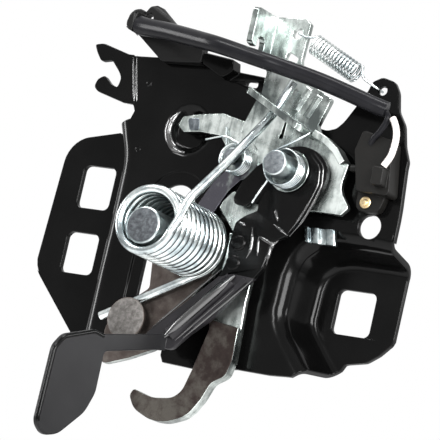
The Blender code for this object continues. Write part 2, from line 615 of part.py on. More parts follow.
def catch_lever():
    body = corners([(96.6, 32.0, 3), (102.4, 33.4, 8), (108.6, 32.2, 6), (113.0, 29.2, 6),
                    (115.9, 24.0, 5), (114.6, 17.5, 6), (110.8, 10.2), (104.7, -0.4, 1.2), (99.9, -5.3, 1.5),
                    (99.2, -14.2, 2), (96.1, -18.8, 3), (90.2, -25.6), (82.9, -35.4, 8), (74.9, -42.5, 6),
                    (68.8, -49.4, 3), (60.4, -49.4, 2), (56.4, -45.0, 1), (81.5, -19.9, 2),
                    (83.8, -13.4), (82.8, -7.5), (83.6, 1.0, 1), (86.8, 4.6), (90.0, 7.0, 0.8),
                    (89.9, 9.8, 0.6), (86.6, 10.6, 0.8), (85.4, 7.8, 2.2), (80.3, 8.2, 2.2),
                    (79.0, 11.4, 2), (81.4, 17.8, 5), (85.6, 23.6, 2)])
    obj = plate("catch_lever", [body, circle(CENTRAL, bore(CENTRAL_R))], L3, L3_FRONT, BLACK)
    joggle(obj, (-0.455, -0.89), STEP_BEGIN, STEP_END, ARM_STEP, CENTRAL)

    h = Vector((-math.sin(NECK_TURN), -math.cos(NECK_TURN), 0))
    side = h.cross(Z)
    foot = Vector((NECK_FOOT[0], -ARM_FRONT + 0.6, 0))
    loop = corners([(-0.4, -43.9), (31.3, -51.6, 2), (36.0, -50.9, 3), (50.5, -56.1, 3), (54.1, -61.2, 2),
                    (54.4, PADDLE_END + 3.7, 2.5), (49.6, PADDLE_END, 1.5), (42.7, PADDLE_END + 1.9, 6),
                    (32.2, PADDLE_END + 12.3, 8), (29.1, -73.0, 6), (29.4, -57.5, 2), (-0.4, -50.0)])
    grip = new_object("paddle", slab_mesh([loop], -PADDLE_T / 2, PADDLE_T / 2, foot, h, Z, side), BLACK)
    merge(obj, grip, "UNION")

    # A folded rim along the arm's lower edge, and a pressed bead down its middle
    rim = [(-2.1, ARM_REAR + 0.5), (-0.1, ARM_REAR + 0.5), (-0.1, ARM_FRONT + 1.8), (-2.1, ARM_FRONT + 1.8)]
    bead = [(-3.0, ARM_REAR + 0.5), (3.0, ARM_REAR + 0.5), (3.0, ARM_FRONT + 0.1), (1.4, ARM_FRONT + 1.6),
            (-1.4, ARM_FRONT + 1.6), (-3.0, ARM_FRONT + 0.1)]
    for name, section, high, low in (("arm_rim", rim, (94.6, -20.6), (77.2, -40.9)),
                                     ("arm_bead", bead, (87.3, -20.6), (66.6, -43.9))):
        line = Vector((low[0] - high[0], 0, low[1] - high[1]))
        way = line.normalized()
        out = way.cross(Y)
        if out.x < 0:
            out = -out
        piece = slab_mesh([section], 0, line.length, Vector((high[0], 0, high[1])), out, -Y, way)
        merge(obj, new_object(name, piece, BLACK), "UNION")
    for i, spot in enumerate(RIVETS):
        cut = plate("cut_arm_rivet_%d" % i, [circle(spot, bore(RIVET_R), 16)], ARM_REAR - 1, ARM_FRONT + 1,
                    BLACK)
        merge(obj, cut, "DIFFERENCE")
    put_origin(obj, CENTRAL)


def catch_hook():
    face = corners([(72.0, 7.0, 0.8), (73.0, 9.8), (76.5, 14.0, 1.5), (88.4, 9.8, 1), (90.6, -1.0),
                    (92.2, -17.8), (91.8, -27.0), (92.5, -37.0), (93.0, -49.5, 2), (91.6, -55.6, 2.5),
                    (86.4, -58.8, 3), (83.8, -65.4, 8), (79.4, -72.6, 6), (71.0, -76.0, 6), (64.6, -76.2, 4),
                    (56.3, -72.9, 3), (53.4, -68.1, 1), (54.8, -65.6, 0.8), (63.2, -67.8, 6),
                    (71.8, -66.6, 4), (75.1, -63.3, 3), (77.4, -54.7, 6), (80.5, -39.4), (79.2, -30.0),
                    (80.2, -19.8), (80.6, -6.0), (79.8, -1.4, 2), (77.8, 0.9)])
    loops = [face] + [circle(spot, bore(RIVET_R), 16) for spot in RIVETS]
    obj = plate("catch_hook", loops, L2, HOOK_FRONT, STEEL)
    for name, patch in (("cut_hook_top", [(60, THIN_Z), (100, THIN_Z), (100, 20), (60, 20)]),
                        ("cut_hook_shank", [(74, -34.6), (98, -37.9), (98, -19.5), (74, -19.5)])):
        merge(obj, plate(name, [patch], L2 + LEVER_T, HOOK_FRONT + 2, STEEL), "DIFFERENCE")
    put_origin(obj, CENTRAL)
    for i, spot in enumerate(RIVETS):
        piece = turned("catch_rivet_%d" % (i + 1), spot,
                       [(L2 + 0.1, RIVET_R), (ARM_FRONT + 0.1, RIVET_R), (ARM_FRONT + 0.1, RIVET_R + 0.9),
                        (ARM_FRONT + 0.4, RIVET_R + 0.8), (ARM_FRONT + 0.6, RIVET_R + 0.3)], BLACK, 16)
        put_origin(piece, CENTRAL)


# Springs
def bend_points(points, radius=3.0, count=3):
    """Round the inner corners of a wire's route."""
    pts = [Vector(p) for p in points]
    out = [pts[0]]
    for a, b, c in zip(pts, pts[1:], pts[2:]):
        before, after = a - b, c - b
        if before.angle(after) > math.radians(172):
            out.append(b)
            continue
        reach = min(radius, before.length * 0.45, after.length * 0.45)
        first, last = b + before.normalized() * reach, b + after.normalized() * reach
        for k in range(count + 1):
            t = k / count
            out.append(first * (1 - t) ** 2 + b * 2 * t * (1 - t) + last * t * t)
    out.append(pts[-1])
    return out


def springs():
    # Main spring: the rear leg bears on the stud, the front leg passes the shelf
    rear_deg, front_deg = -60.8, -18.4
    turn = 360 * COIL_TURNS + front_deg - rear_deg
    body = coil(COIL, COIL_R, COIL_REAR, COIL_FRONT, rear_deg, turn)
    rear_leg = [Vector((31.6, -COIL_REAR, -40.3)), Vector((47.3, -COIL_REAR, -31.5)),
                Vector((64.0, -COIL_REAR, -22.1))]
    front_leg = bend_points([body[-1], ahead(77.8, 43.3, -7.0), ahead(77.9, 39.9, 1.6),
                             ahead(83.7, 30.8, 17.0), ahead(89.8, 12.3, 44.0), ahead(93.8, 10.5, 56.6)], 5.0)
    wire("main_spring", rear_leg + body + front_leg[1:], COIL_WIRE / 2, ZINC, 2)

    depth = L3_FRONT + SEAT + CENTRAL_RING_T + SEAT + CATCH_COIL_WIRE / 2
    length = CATCH_COIL_TURNS * CATCH_COIL_WIRE * COIL_PITCH
    turns = coil(CENTRAL, CATCH_COIL_R, depth, depth + length, 195, -360 * CATCH_COIL_TURNS - 68, 14)
    rest = L3_FRONT + 1.7
    leg_a = [Vector((88.2, -rest, 9.2)), Vector((89.9, -rest, 13.2)), Vector((93.1, -depth, 18.6))]
    leg_b = [Vector((105.9, -(depth + length - 1.2), 34.9)), Vector((107.6, -(depth + length - 2.6), 37.2))]
    wire("catch_spring", leg_a + turns + leg_b, CATCH_COIL_WIRE / 2, ZINC, 1)

    depth = L2_FRONT + SEAT + PAWL_COIL_WIRE / 2
    length = PAWL_COIL_TURNS * PAWL_COIL_WIRE * COIL_PITCH
    turns = coil(PAWL_COIL, PAWL_COIL_R, depth, depth + length, 200, 360 * PAWL_COIL_TURNS - 130, 14)
    rest = L1_FRONT + SEAT + PAWL_COIL_WIRE / 2
    leg_a = [Vector((66.4, -rest, 38.2)), Vector((68.9, -(rest + 0.6), 29.4))]
    leg_b = [Vector((71.7, -(depth + length), 33.1)), Vector((63.6, -(depth + length), 30.7))]
    wire("pawl_spring", leg_a + turns + leg_b, PAWL_COIL_WIRE / 2, ZINC, 1)

    hook_a = Vector((EYE[0] + (EYE[2] - RETURN_WIRE / 2 - SEAT), -(L2_FRONT + 2.6), EYE[1]))
    hook_b = Vector((LUG_HOLE[0] - (LUG_HOLE[2] - RETURN_WIRE / 2 - SEAT), -(WEB_FRONT + 2.2), LUG_HOLE[1]))
    axis = hook_b - hook_a
    length = axis.length
    axis.normalize()
    up = axis.cross(Y).normalized()
    side = axis.cross(up)
    points = [hook_a + Vector((-0.1, 5.0, 0)), hook_a + Vector((-0.1, 0.4, 0)), hook_a + axis * 4.0]
    begin, end = 8.5, 29.0
    count = RETURN_TURNS * 10
    for i in range(count + 1):
        a = 2 * math.pi * i / 10
        spot = hook_a + axis * (begin + (end - begin) * i / count)
        points.append(spot + up * RETURN_R * math.cos(a) + side * RETURN_R * math.sin(a))
    points += [hook_a + axis * (end + 2.4), hook_b + Vector((-0.1, 0.2, 0)), hook_b + Vector((-0.1, 4.8, 0))]
    wire("return_spring", points, RETURN_WIRE / 2, ZINC, 1)


# Switch, connector and lead
def electrics():
    case = corners([(123.6, 34.5, 1), (125.4, 42.2, 1.5), (138.0, 39.4, 1), (141.2, 18.9, 1.5),
                    (127.6, 19.4, 1)])
    back = WEB_FRONT + SEAT
    rivet = (130.6, 16.1)
    ear = corners([(126.6, 22.0), (138.6, 22.0), (136.4, 12.9, 3), (126.6, 12.7, 3)])
    obj = plate("switch_body", [case], back, SWITCH_FRONT, PLASTIC)
    foot = plate("switch_ear", [ear], back, back + 4.0, PLASTIC)
    merge(obj, foot, "UNION")
    boss = plate("switch_boss", [corners([(134.6, 28.4, 0.8), (139.0, 28.4, 0.8), (139.4, 21.5, 0.8),
                                          (134.9, 21.5, 0.8)])], SWITCH_FRONT - 0.5, SWITCH_FRONT + 4.4,
                 PLASTIC)
    merge(obj, boss, "UNION")
    hole = plate("cut_switch_rivet", [circle(rivet, bore(1.5), 16)], back - 1, SWITCH_FRONT, PLASTIC)
    merge(obj, hole, "DIFFERENCE")
    turned("switch_rivet", rivet, [(back, 1.5), (back + 4.1, 1.5), (back + 4.1, 2.4), (back + 4.6, 2.2),
                                   (back + 5.0, 1.2)], BRASS, 16)
    plunger = slab_mesh([circle((28.2, 0), 1.4, 12)], 121.9, 124.6, ahead(0, 4.5, 0), Z, Y, X)
    new_object("switch_plunger", plunger, PLASTIC)

    shell = corners([(12.2, 74.2, 2), (12.6, 77.9, 2.5), (14.4, 80.6, 2.5), (17.8, 81.0, 2), (19.6, 79.7),
                     (21.4, 82.4, 2), (25.2, 82.9, 2), (34.4, 75.6), (39.0, 72.6), (48.6, 69.8, 1),
                     (49.2, 61.6, 1), (31.6, 61.0, 1), (16.9, 71.7)])
    window = corners([(19.9, 74.5), (19.8, 77.9, 1), (21.2, 79.4, 0.8), (22.9, 79.3, 0.8), (23.6, 77.6, 1),
                      (23.4, 74.5)])
    housing = plate("connector", [shell, window], back, CONNECTOR_FRONT, PLASTIC)
    stop = corners([(17.6, 70.7, 1.5), (16.5, 73.2, 2), (17.7, 77.7, 1.8), (21.0, 78.2, 0.5),
                    (19.6, 70.1, 0.5)])
    merge(housing, plate("connector_stop", [stop], CONNECTOR_FRONT - 0.5, CONNECTOR_FRONT + 7.2, PLASTIC),
          "UNION")

    seat_depth = CONNECTOR_FRONT - WEB_FRONT + SEAT + SLEEVE_R * SLEEVE_FLARE + 0.2
    sleeve = smooth_route([ahead(21.1, seat_depth, 73.2), ahead(25.2, seat_depth + 1.0, 72.4),
                           ahead(38.6, 14.8, 70.1), ahead(57.0, 22.2, 66.3), ahead(69.0, 26.6, 63.7),
                           ahead(84.5, 26.8, 60.5), ahead(93.6, 25.5, 58.8), ahead(108.5, 19.5, 56.2),
                           ahead(118.8, 15.5, 53.8), ahead(129.1, 11.5, 51.1), ahead(134.0, 10.1, 50.0)], 5.5)
    wire("cable_sleeve", sleeve, SLEEVE_R, RUBBER, 3, SLEEVE_FLARE, 12)
    white = smooth_route([ahead(134.9, 11.5, 49.4), ahead(138.6, 11.9, 46.0), ahead(140.9, 11.9, 40.6),
                          ahead(140.4, 11.5, 33.6), ahead(138.2, 11.4, 28.9)], 3.0)
    wire("white_wire", white[2:], WIRE_R, WHITE, 2)


def clip():
    loop = corners([(106.9, 5.0, 0.6), (119.7, 5.4, 0.6), (121.2, -0.8, 0.6), (109.3, -1.5, 0.6)])
    plate("clip_tab", [loop], WEB_FRONT + SEAT, WEB_FRONT + SEAT + 2.4, ZINC)


base_plate()
pins()
lifter()
pawl()
release_lever()
catch_lever()
catch_hook()
springs()
electrics()
clip()
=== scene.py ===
"""Bonnet latch, dressed for its picture.  Metres, +Z up, front facing -Y."""

import json
import math

import bpy
import bmesh
from mathutils import Matrix, Vector
from mathutils.geometry import tessellate_polygon

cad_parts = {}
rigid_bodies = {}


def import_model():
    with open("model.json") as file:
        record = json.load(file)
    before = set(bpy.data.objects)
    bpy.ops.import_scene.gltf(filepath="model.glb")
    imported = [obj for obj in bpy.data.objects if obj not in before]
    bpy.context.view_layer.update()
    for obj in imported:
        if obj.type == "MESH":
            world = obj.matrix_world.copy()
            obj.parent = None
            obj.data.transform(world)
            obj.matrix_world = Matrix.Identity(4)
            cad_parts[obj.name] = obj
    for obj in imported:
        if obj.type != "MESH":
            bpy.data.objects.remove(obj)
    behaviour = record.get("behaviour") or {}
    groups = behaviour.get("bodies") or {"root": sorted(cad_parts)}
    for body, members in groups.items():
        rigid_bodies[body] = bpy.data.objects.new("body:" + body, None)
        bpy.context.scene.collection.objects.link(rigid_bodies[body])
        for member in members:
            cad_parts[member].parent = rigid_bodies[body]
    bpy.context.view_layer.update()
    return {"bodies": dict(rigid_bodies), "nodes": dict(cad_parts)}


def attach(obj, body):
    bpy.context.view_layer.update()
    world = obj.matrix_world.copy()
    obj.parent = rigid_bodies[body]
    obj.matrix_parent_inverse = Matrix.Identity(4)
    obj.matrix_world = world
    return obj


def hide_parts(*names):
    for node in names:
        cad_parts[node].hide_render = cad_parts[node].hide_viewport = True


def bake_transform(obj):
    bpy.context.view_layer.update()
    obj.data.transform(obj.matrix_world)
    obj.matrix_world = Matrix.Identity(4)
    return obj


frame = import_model()
nodes = frame["nodes"]

MM = 0.001

# Sizes and places of the solid model, in millimetres.  A pair is (x, z), a depth is counted forward
# from the fixing plane, WEB_Y and FACE_Y are the middles of the sheet in the web and in the flanges,
# and SHANK is a pin's shank over its radius.
SHEET = 2.5
WEB_FRONT = 22.5
WEB_Y = -21.25
FACE_Y = -1.25
BEHIND_WEB, BEFORE_WEB = 18, 25
CENTRAL, CENTRAL_R = (100.3, 23.0), 4.85
MAIN, MAIN_R = (65.5, -10.5), 7.0
PAWL, PAWL_R = (75.0, 26.2), 3.0
SHANK = 0.62
STUD = (44.3, -39.9)
DISH, DISH_R = (47.5, 36.3), 11.2
HUB_FACE, ARM_FACE, BEAD_FACE = 32.0, 34.5, 36.1

# Bends of the dressed plate, in millimetres and steps
BEND = 4.4
BEND_STEPS = 8

# A face looks forward when its normal's Y is below this
FORWARD = -0.7


# Colour and node helpers

def linear(code):
    """sRGB hex colour as linear RGBA."""
    out = []
    for i in (1, 3, 5):
        c = int(code[i:i + 2], 16) / 255
        out.append(c / 12.92 if c <= 0.04045 else ((c + 0.055) / 1.055) ** 2.4)
    return (*out, 1.0)


def add(tree, kind, settings=None, links=None):
    """One node: settings go to attributes or sockets, links bring other nodes' outputs in."""
    node = tree.nodes.new(kind)
    for key, value in (settings or {}).items():
        if isinstance(key, str) and hasattr(node, key):
            setattr(node, key, value)
        else:
            node.inputs[key].default_value = value
    for key, source in (links or {}).items():
        tree.links.new(source, node.inputs[key])
    return node


def ramp(tree, source, stops):
    """Colour ramp with (place, colour) stops."""
    node = add(tree, "ShaderNodeValToRGB", links={"Fac": source})
    band = node.color_ramp
    while len(band.elements) < len(stops):
        band.elements.new(0.5)
    for element, (place, colour) in zip(band.elements, stops):
        element.position = place
        element.color = colour if isinstance(colour, tuple) else (colour, colour, colour, 1.0)
    return node.outputs["Color"]


def start(name):
    """New material: itself, its tree, its shader and the place on the piece."""
    mat = bpy.data.materials.new(name)
    mat.use_nodes = True
    tree = mat.node_tree
    shader = tree.nodes["Principled BSDF"]
    place = add(tree, "ShaderNodeTexCoord").outputs["Object"]
    return mat, tree, shader, place


def noise(tree, place, scale, detail=3.0, rough=0.5):
    """Cloudy pattern; scale is in patches to the metre, 1000 over their size in millimetres."""
    return add(tree, "ShaderNodeTexNoise", {"Scale": scale, "Detail": detail, "Roughness": rough},
               {"Vector": place}).outputs["Fac"]


def stretched(tree, place, scale):
    """Coordinates stretched along one direction, for streaks."""
    return add(tree, "ShaderNodeMapping", {"Scale": scale}, {"Vector": place}).outputs[0]


def faded(tree, place, value, low, high, reach):
    """Painted shade by height: a pattern's value, shifted by reach below the height low and by nothing
    above high, in mm.
    """
    height = add(tree, "ShaderNodeSeparateXYZ", links={0: place}).outputs["Z"]
    span = {"From Min": low * MM, "From Max": high * MM, "To Min": reach, "To Max": 0.0}
    shift = add(tree, "ShaderNodeMapRange", span, {"Value": height}).outputs["Result"]
    return add(tree, "ShaderNodeMath", {"operation": "ADD"}, {0: value, 1: shift}).outputs[0]


def hook_up(tree, source, shader, socket):
    tree.links.new(source, shader.inputs[socket])


def bump(tree, shader, height, distance, strength):
    """Fine relief: distance in metres."""
    node = add(tree, "ShaderNodeBump", {"Strength": strength, "Distance": distance}, {"Height": height})
    hook_up(tree, node.outputs["Normal"], shader, "Normal")


def tint(tree, shader, pattern, stops):
    """Base colour by a pattern, with (place, sRGB hex) stops."""
    shades = [(place, linear(code)) for place, code in stops]
    hook_up(tree, ramp(tree, pattern, shades), shader, "Base Color")


def gloss_drift(tree, shader, pattern, stops):
    """Roughness by a pattern, with (place, value) stops."""
    hook_up(tree, ramp(tree, pattern, stops), shader, "Roughness")


# Finishes.  Each pattern's scale follows from a real size; what is too fine to show is drawn
# as coarse as it has to be, which the comments say.
FILM_DRIFT = 45.0        # 22 mm, the way a dipped film drains
ORANGE_PEEL = 700.0      # 1.4 mm, the ripple of baked paint
ZINC_CLOUD = 55.0        # 18 mm patches of passivation
ROLLING_LINES = 420.0    # 2.4 mm, coarser than on real strip
ZINC_GRAIN = 1400.0      # 0.7 mm, coarser than real plating
SCALE_CLOUD = 150.0      # 7 mm patches left by pickling
STRIP_GRAIN = 1500.0     # 0.7 mm, coarser than on real strip
FACE_STAIN = 480.0       # 2 mm stains of oil
LATHE_RINGS = 9000.0     # radians to the metre: rings 0.7 mm apart, coarser than real feed marks
SPARK_GRAIN = 1600.0     # 0.6 mm, coarser than real spark-eroded grain
TUBE_DRIFT = 160.0       # 6 mm, the slight waviness of extruded sleeving
WIRE_DRIFT = 400.0       # 2.5 mm, handling marks
BRASS_GRAIN = 900.0      # 1.1 mm, coarser than real lathe marks


def black_electrocoat(name, dark, light, gloss, rough):
    """Electrocoated pressed steel: dipped and baked, deep black with a soft gloss.  The film's drift
    over tens of millimetres breaks the reflections, and its orange peel of about 1 mm ripples them."""
    mat, tree, shader, place = start(name)
    film = noise(tree, place, FILM_DRIFT)
    tint(tree, shader, film, [(0.3, dark), (0.7, light)])
    gloss_drift(tree, shader, film, [(0.25, rough), (0.75, rough + 0.1)])
    bump(tree, shader, noise(tree, place, ORANGE_PEEL, 2.0), 0.00003, 0.35)
    shader.inputs["Specular IOR Level"].default_value = gloss
    return mat


def bright_zinc(name, codes, rough, streak, fade=None):
    """Clear-passivated zinc electroplate: silvery with a cool drift, rolling streaks under it and a
    soft mirror; it gives the eye bright flats with cloudy grey patches.  streak below 1 draws the
    rolling lines out along Z, and fade is (low, high, reach) for painted shade by height."""
    mat, tree, shader, place = start(name)
    cloud = noise(tree, place, ZINC_CLOUD, 5.0, 0.62)
    lines = noise(tree, stretched(tree, place, (1.0, 1.0, streak)), ROLLING_LINES, 3.0, 0.6)
    both = add(tree, "ShaderNodeMath", {"operation": "MULTIPLY_ADD", 1: 0.35}, {0: lines, 2: cloud})
    level = add(tree, "ShaderNodeMath", {"operation": "SUBTRACT", 1: 0.17}, {0: both.outputs[0]})
    tone = level.outputs[0]
    # Painted shade by height, laid on the zinc's tone when given
    if fade:
        tone = faded(tree, place, tone, *fade)
    tint(tree, shader, tone, list(zip((0.36, 0.5, 0.62), codes)))
    gloss_drift(tree, shader, cloud, [(0.2, rough), (0.8, rough + 0.14)])
    bump(tree, shader, noise(tree, place, ZINC_GRAIN, 2.0), 0.00002, 0.5)
    shader.inputs["Metallic"].default_value = 1.0
    return mat


def bare_steel(name, codes, rough, fade=None):
    """Oiled, pickled hot-rolled strip: grey-brown, clouded, dull; fade is (low, high, reach) for painted
    shade by height.
    """
    mat, tree, shader, place = start(name)
    cloud = noise(tree, place, SCALE_CLOUD, 6.0, 0.7)
    # Painted shade by height, laid on the pickling cloud when given
    if fade:
        cloud = faded(tree, place, cloud, *fade)
    tint(tree, shader, cloud, list(zip((0.3, 0.5, 0.7), codes)))
    gloss_drift(tree, shader, cloud, [(0.2, rough), (0.8, rough + 0.1)])
    bump(tree, shader, noise(tree, place, STRIP_GRAIN, 3.0), 0.00003, 0.7)
    shader.inputs["Metallic"].default_value = 1.0
    return mat


def turned_face(name, codes, centre):
    """Sawn and turned end of a pin: dull grey with rings round its axis and darker oil stains."""
    mat, tree, shader, place = start(name)
    axis = (centre[0] * MM, 0.0, centre[1] * MM)
    moved = add(tree, "ShaderNodeVectorMath", {"operation": "SUBTRACT", 1: axis}, {0: place})
    apart = add(tree, "ShaderNodeSeparateXYZ", links={0: moved.outputs[0]})
    flat = add(tree, "ShaderNodeCombineXYZ", links={"X": apart.outputs["X"], "Z": apart.outputs["Z"]})
    reach = add(tree, "ShaderNodeVectorMath", {"operation": "LENGTH"}, {0: flat.outputs[0]})
    rings = add(tree, "ShaderNodeMath", {"operation": "MULTIPLY", 1: LATHE_RINGS},
                {0: reach.outputs["Value"]})
    wave = add(tree, "ShaderNodeMath", {"operation": "SINE"}, {0: rings.outputs[0]})
    stain = noise(tree, place, FACE_STAIN, 5.0, 0.7)
    tint(tree, shader, stain, list(zip((0.32, 0.5, 0.68), codes)))
    bump(tree, shader, wave.outputs[0], 0.00002, 0.35)
    shader.inputs["Metallic"].default_value = 1.0
    shader.inputs["Roughness"].default_value = 0.48
    return mat


def moulded_black(name, dark, light):
    """Moulded black polyamide: matt with a fine spark-eroded grain."""
    mat, tree, shader, place = start(name)
    grain = noise(tree, place, SPARK_GRAIN, 2.0)
    tint(tree, shader, grain, [(0.3, dark), (0.7, light)])
    bump(tree, shader, grain, 0.00005, 0.6)
    shader.inputs["Roughness"].default_value = 0.42
    shader.inputs["Specular IOR Level"].default_value = 0.1
    return mat


def sleeve_tube():
    """Soft PVC sleeving: smooth dark tube with a faint violet cast and a long soft highlight."""
    mat, tree, shader, place = start("pvc_sleeving")
    drift = noise(tree, place, TUBE_DRIFT)
    tint(tree, shader, drift, [(0.3, "#0f0f11"), (0.7, "#141416")])
    bump(tree, shader, drift, 0.0002, 0.3)
    shader.inputs["Roughness"].default_value = 0.26
    shader.inputs["Specular IOR Level"].default_value = 0.06
    return mat


def white_lead():
    """PVC wire insulation: a pale warm grey that the lamps lift to white, slightly glossy."""
    mat, tree, shader, place = start("white_wire_insulation")
    drift = noise(tree, place, WIRE_DRIFT, 2.0)
    tint(tree, shader, drift, [(0.3, "#9c9794"), (0.7, "#aaa5a2")])
    shader.inputs["Roughness"].default_value = 0.4
    return mat


def turned_brass():
    """Turned brass: warm yellow, fine lathe marks."""
    mat, tree, shader, place = start("turned_brass")
    grain = noise(tree, place, BRASS_GRAIN, 2.0)
    tint(tree, shader, grain, [(0.3, "#b09468"), (0.7, "#d8c49e")])
    shader.inputs["Metallic"].default_value = 1.0
    shader.inputs["Roughness"].default_value = 0.3
    return mat


COAT = black_electrocoat("black_electrocoat", "#030303", "#060606", 0.09, 0.1)
CREASE_COAT = black_electrocoat("thick_black_electrocoat", "#0a0a0a", "#101010", 1.0, 0.14)
# Dark zinc for the pawl's end: painted shade of a small recess
SHADED_ZINC = bright_zinc("zinc_plate_painted_shade", ("#33383c", "#565c61", "#8b9196"), 0.12, 0.3)
# Lighter, glossier black for the lower arm of the catch lever
ARM_COAT = black_electrocoat("lighter_black_electrocoat", "#111112", "#1a191b", 0.15, 0.25)
# Lighter black for the paddle and its folded neck: painted sheen, for the lamps' reflection on these
# turned faces
GRIP_COAT = black_electrocoat("black_electrocoat_painted_sheen", "#121213", "#19191a", 0.09, 0.3)
ZINC = bright_zinc("bright_zinc_plate", ("#565c5b", "#989f9c", "#cdd3d0"), 0.2, 0.12)
SPRING_ZINC = bright_zinc("zinc_plated_spring_wire", ("#7f888b", "#a2a9aa", "#c3c8c7"), 0.16, 1.0)
# The pawl's zinc darkens from 28 mm down to 14 mm up and stays dark below: painted shade on its lower
# part
PAWL_ZINC = bright_zinc("pawl_zinc_painted_shade", ("#4b4a50", "#8f9693", "#c4cac7"), 0.18, 0.12,
                        (14.0, 28.0, -0.22))
PIN_ZINC = bright_zinc("zinc_plated_pin", ("#565f62", "#808889", "#a9b0b0"), 0.22, 1.0)
# The hook's steel is painted lighter towards its tip, below 48 mm down, and darker towards its top near
# the lever: painted shade by height
HOOK_STEEL = bare_steel("pickled_steel_hook_painted_shade", ("#241f1e", "#2f2927", "#45423e"), 0.42,
                        (-76.0, -48.0, 0.2))
STEEL = bare_steel("pickled_steel_strip", ("#312b29", "#443e3b", "#58534f"), 0.4)
MAIN_FACE = turned_face("turned_pin_face", ("#323437", "#484b4e", "#5f6265"), MAIN)
CENTRAL_FACE = turned_face("turned_central_face", ("#43464a", "#5b5f62", "#707376"), CENTRAL)
STUD_FACE = turned_face("turned_stud_face", ("#403d3b", "#545250", "#696664"), STUD)
SWITCH_BLACK = moulded_black("moulded_black_polyamide", "#0b0b0a", "#100f0e")
PLUG_BLACK = moulded_black("moulded_connector_black", "#080808", "#0d0d0d")
TUBE = sleeve_tube()
WHITE = white_lead()
BRASS = turned_brass()


# Geometry helpers

def body_of(node):
    """Name of the body that a CAD node moves with."""
    parent = nodes[node].parent
    return next(name for name, empty in frame["bodies"].items() if empty is parent)


def adopt(obj, *stands_for):
    """A finished piece takes its CAD nodes' place and rides on their body."""
    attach(obj, body_of(stands_for[0]))
    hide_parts(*stands_for)
    return obj


def in_scene(name, data):
    """New object that holds data, at the origin."""
    obj = bpy.data.objects.new(name, data)
    bpy.context.scene.collection.objects.link(obj)
    return obj


def from_bmesh(name, bm, finishes):
    mesh = bpy.data.meshes.new(name)
    bm.to_mesh(mesh)
    bm.free()
    for finish in finishes:
        mesh.materials.append(finish)
    return in_scene(name, mesh)


def skin(bm, a, b):
    """Band of faces between two closed rings of as many points."""
    for i in range(len(a)):
        j = (i + 1) % len(a)
        bm.faces.new((a[i], a[j], b[j], b[i]))


def cap(bm, rings):
    """Both ends of a row of rings closed, and all faces turned outwards."""
    bm.faces.new(rings[0])
    bm.faces.new(rings[-1])
    bmesh.ops.recalc_face_normals(bm, faces=bm.faces)


def turned_rings(bm, centre, profile, sides):
    """Rings about an axis parallel to Y; profile is (depth, radius)."""
    angles = [2 * math.pi * i / sides for i in range(sides)]
    return [[bm.verts.new(Vector((centre[0] + radius * math.cos(a), -depth,
                                  centre[1] + radius * math.sin(a))) * MM) for a in angles]
            for depth, radius in profile]


def shade(obj, sharp):
    """Smooth shading, kept off edges that turn by more than sharp degrees."""
    obj.data.shade_smooth()
    obj.data.set_sharp_from_angle(angle=math.radians(sharp))


def settle(obj):
    """Modifiers made real."""
    graph = bpy.context.evaluated_depsgraph_get()
    mesh = bpy.data.meshes.new_from_object(obj.evaluated_get(graph))
    obj.modifiers.clear()
    obj.data = mesh
    return obj


def unfold(obj, rounds=12, folded=-0.5, longest=1.0):
    """Slivers that the edge rounding folded back over their neighbours are closed up: where two
    normals' product is below folded, the thinner face's shortest edge goes, if it is under longest
    millimetres."""
    bm = bmesh.new()
    bm.from_mesh(obj.data)
    bmesh.ops.remove_doubles(bm, verts=bm.verts, dist=0.02 * MM)
    bmesh.ops.triangulate(bm, faces=bm.faces)
    for _ in range(rounds):
        bm.normal_update()
        short = set()
        for edge in bm.edges:
            if len(edge.link_faces) == 2:
                a, b = edge.link_faces
                if a.normal.dot(b.normal) < folded:
                    thin = min((a, b), key=lambda f: f.calc_area())
                    near = min(thin.edges, key=lambda e: e.calc_length())
                    if near.calc_length() < longest * MM:
                        short.add(near)
        if not short:
            break
        bmesh.ops.collapse(bm, edges=list(short))
        bmesh.ops.dissolve_degenerate(bm, edges=bm.edges, dist=0.002 * MM)
    bm.to_mesh(obj.data)
    bm.free()


def ease_edges(obj, width, limit, smooth, segments=2):
    """Sheared edges, which turn by more than limit degrees, broken by a round width mm wide, bends
    up to smooth degrees shaded smooth, and flats kept flat."""
    edge = obj.modifiers.new("edge", "BEVEL")
    edge.width = width * MM
    edge.segments = segments
    edge.limit_method = "ANGLE"
    edge.angle_limit = math.radians(limit)
    edge.use_clamp_overlap = False
    settle(obj)
    unfold(obj)
    shade(obj, smooth)
    even = obj.modifiers.new("even", "WEIGHTED_NORMAL")
    even.keep_sharp = True
    even.weight = 80
    return settle(obj)


def level_flats(obj):
    """Corners that touch a face square to Y take its exact normal, so that its long triangles don't
    streak."""
    mesh = obj.data
    square = {}
    for face in mesh.polygons:
        if abs(face.normal.y) > 0.9999:
            for vert in face.vertices:
                square.setdefault(vert, set()).add(math.copysign(1.0, face.normal.y))
    normals = [corner.vector.copy() for corner in mesh.corner_normals]
    for face in mesh.polygons:
        for k in face.loop_indices:
            for way in square.get(mesh.loops[k].vertex_index, ()):
                if face.normal.y * way > 0.9:
                    normals[k] = Vector((0.0, way, 0.0))
    mesh.normals_split_custom_set(normals)
    return obj


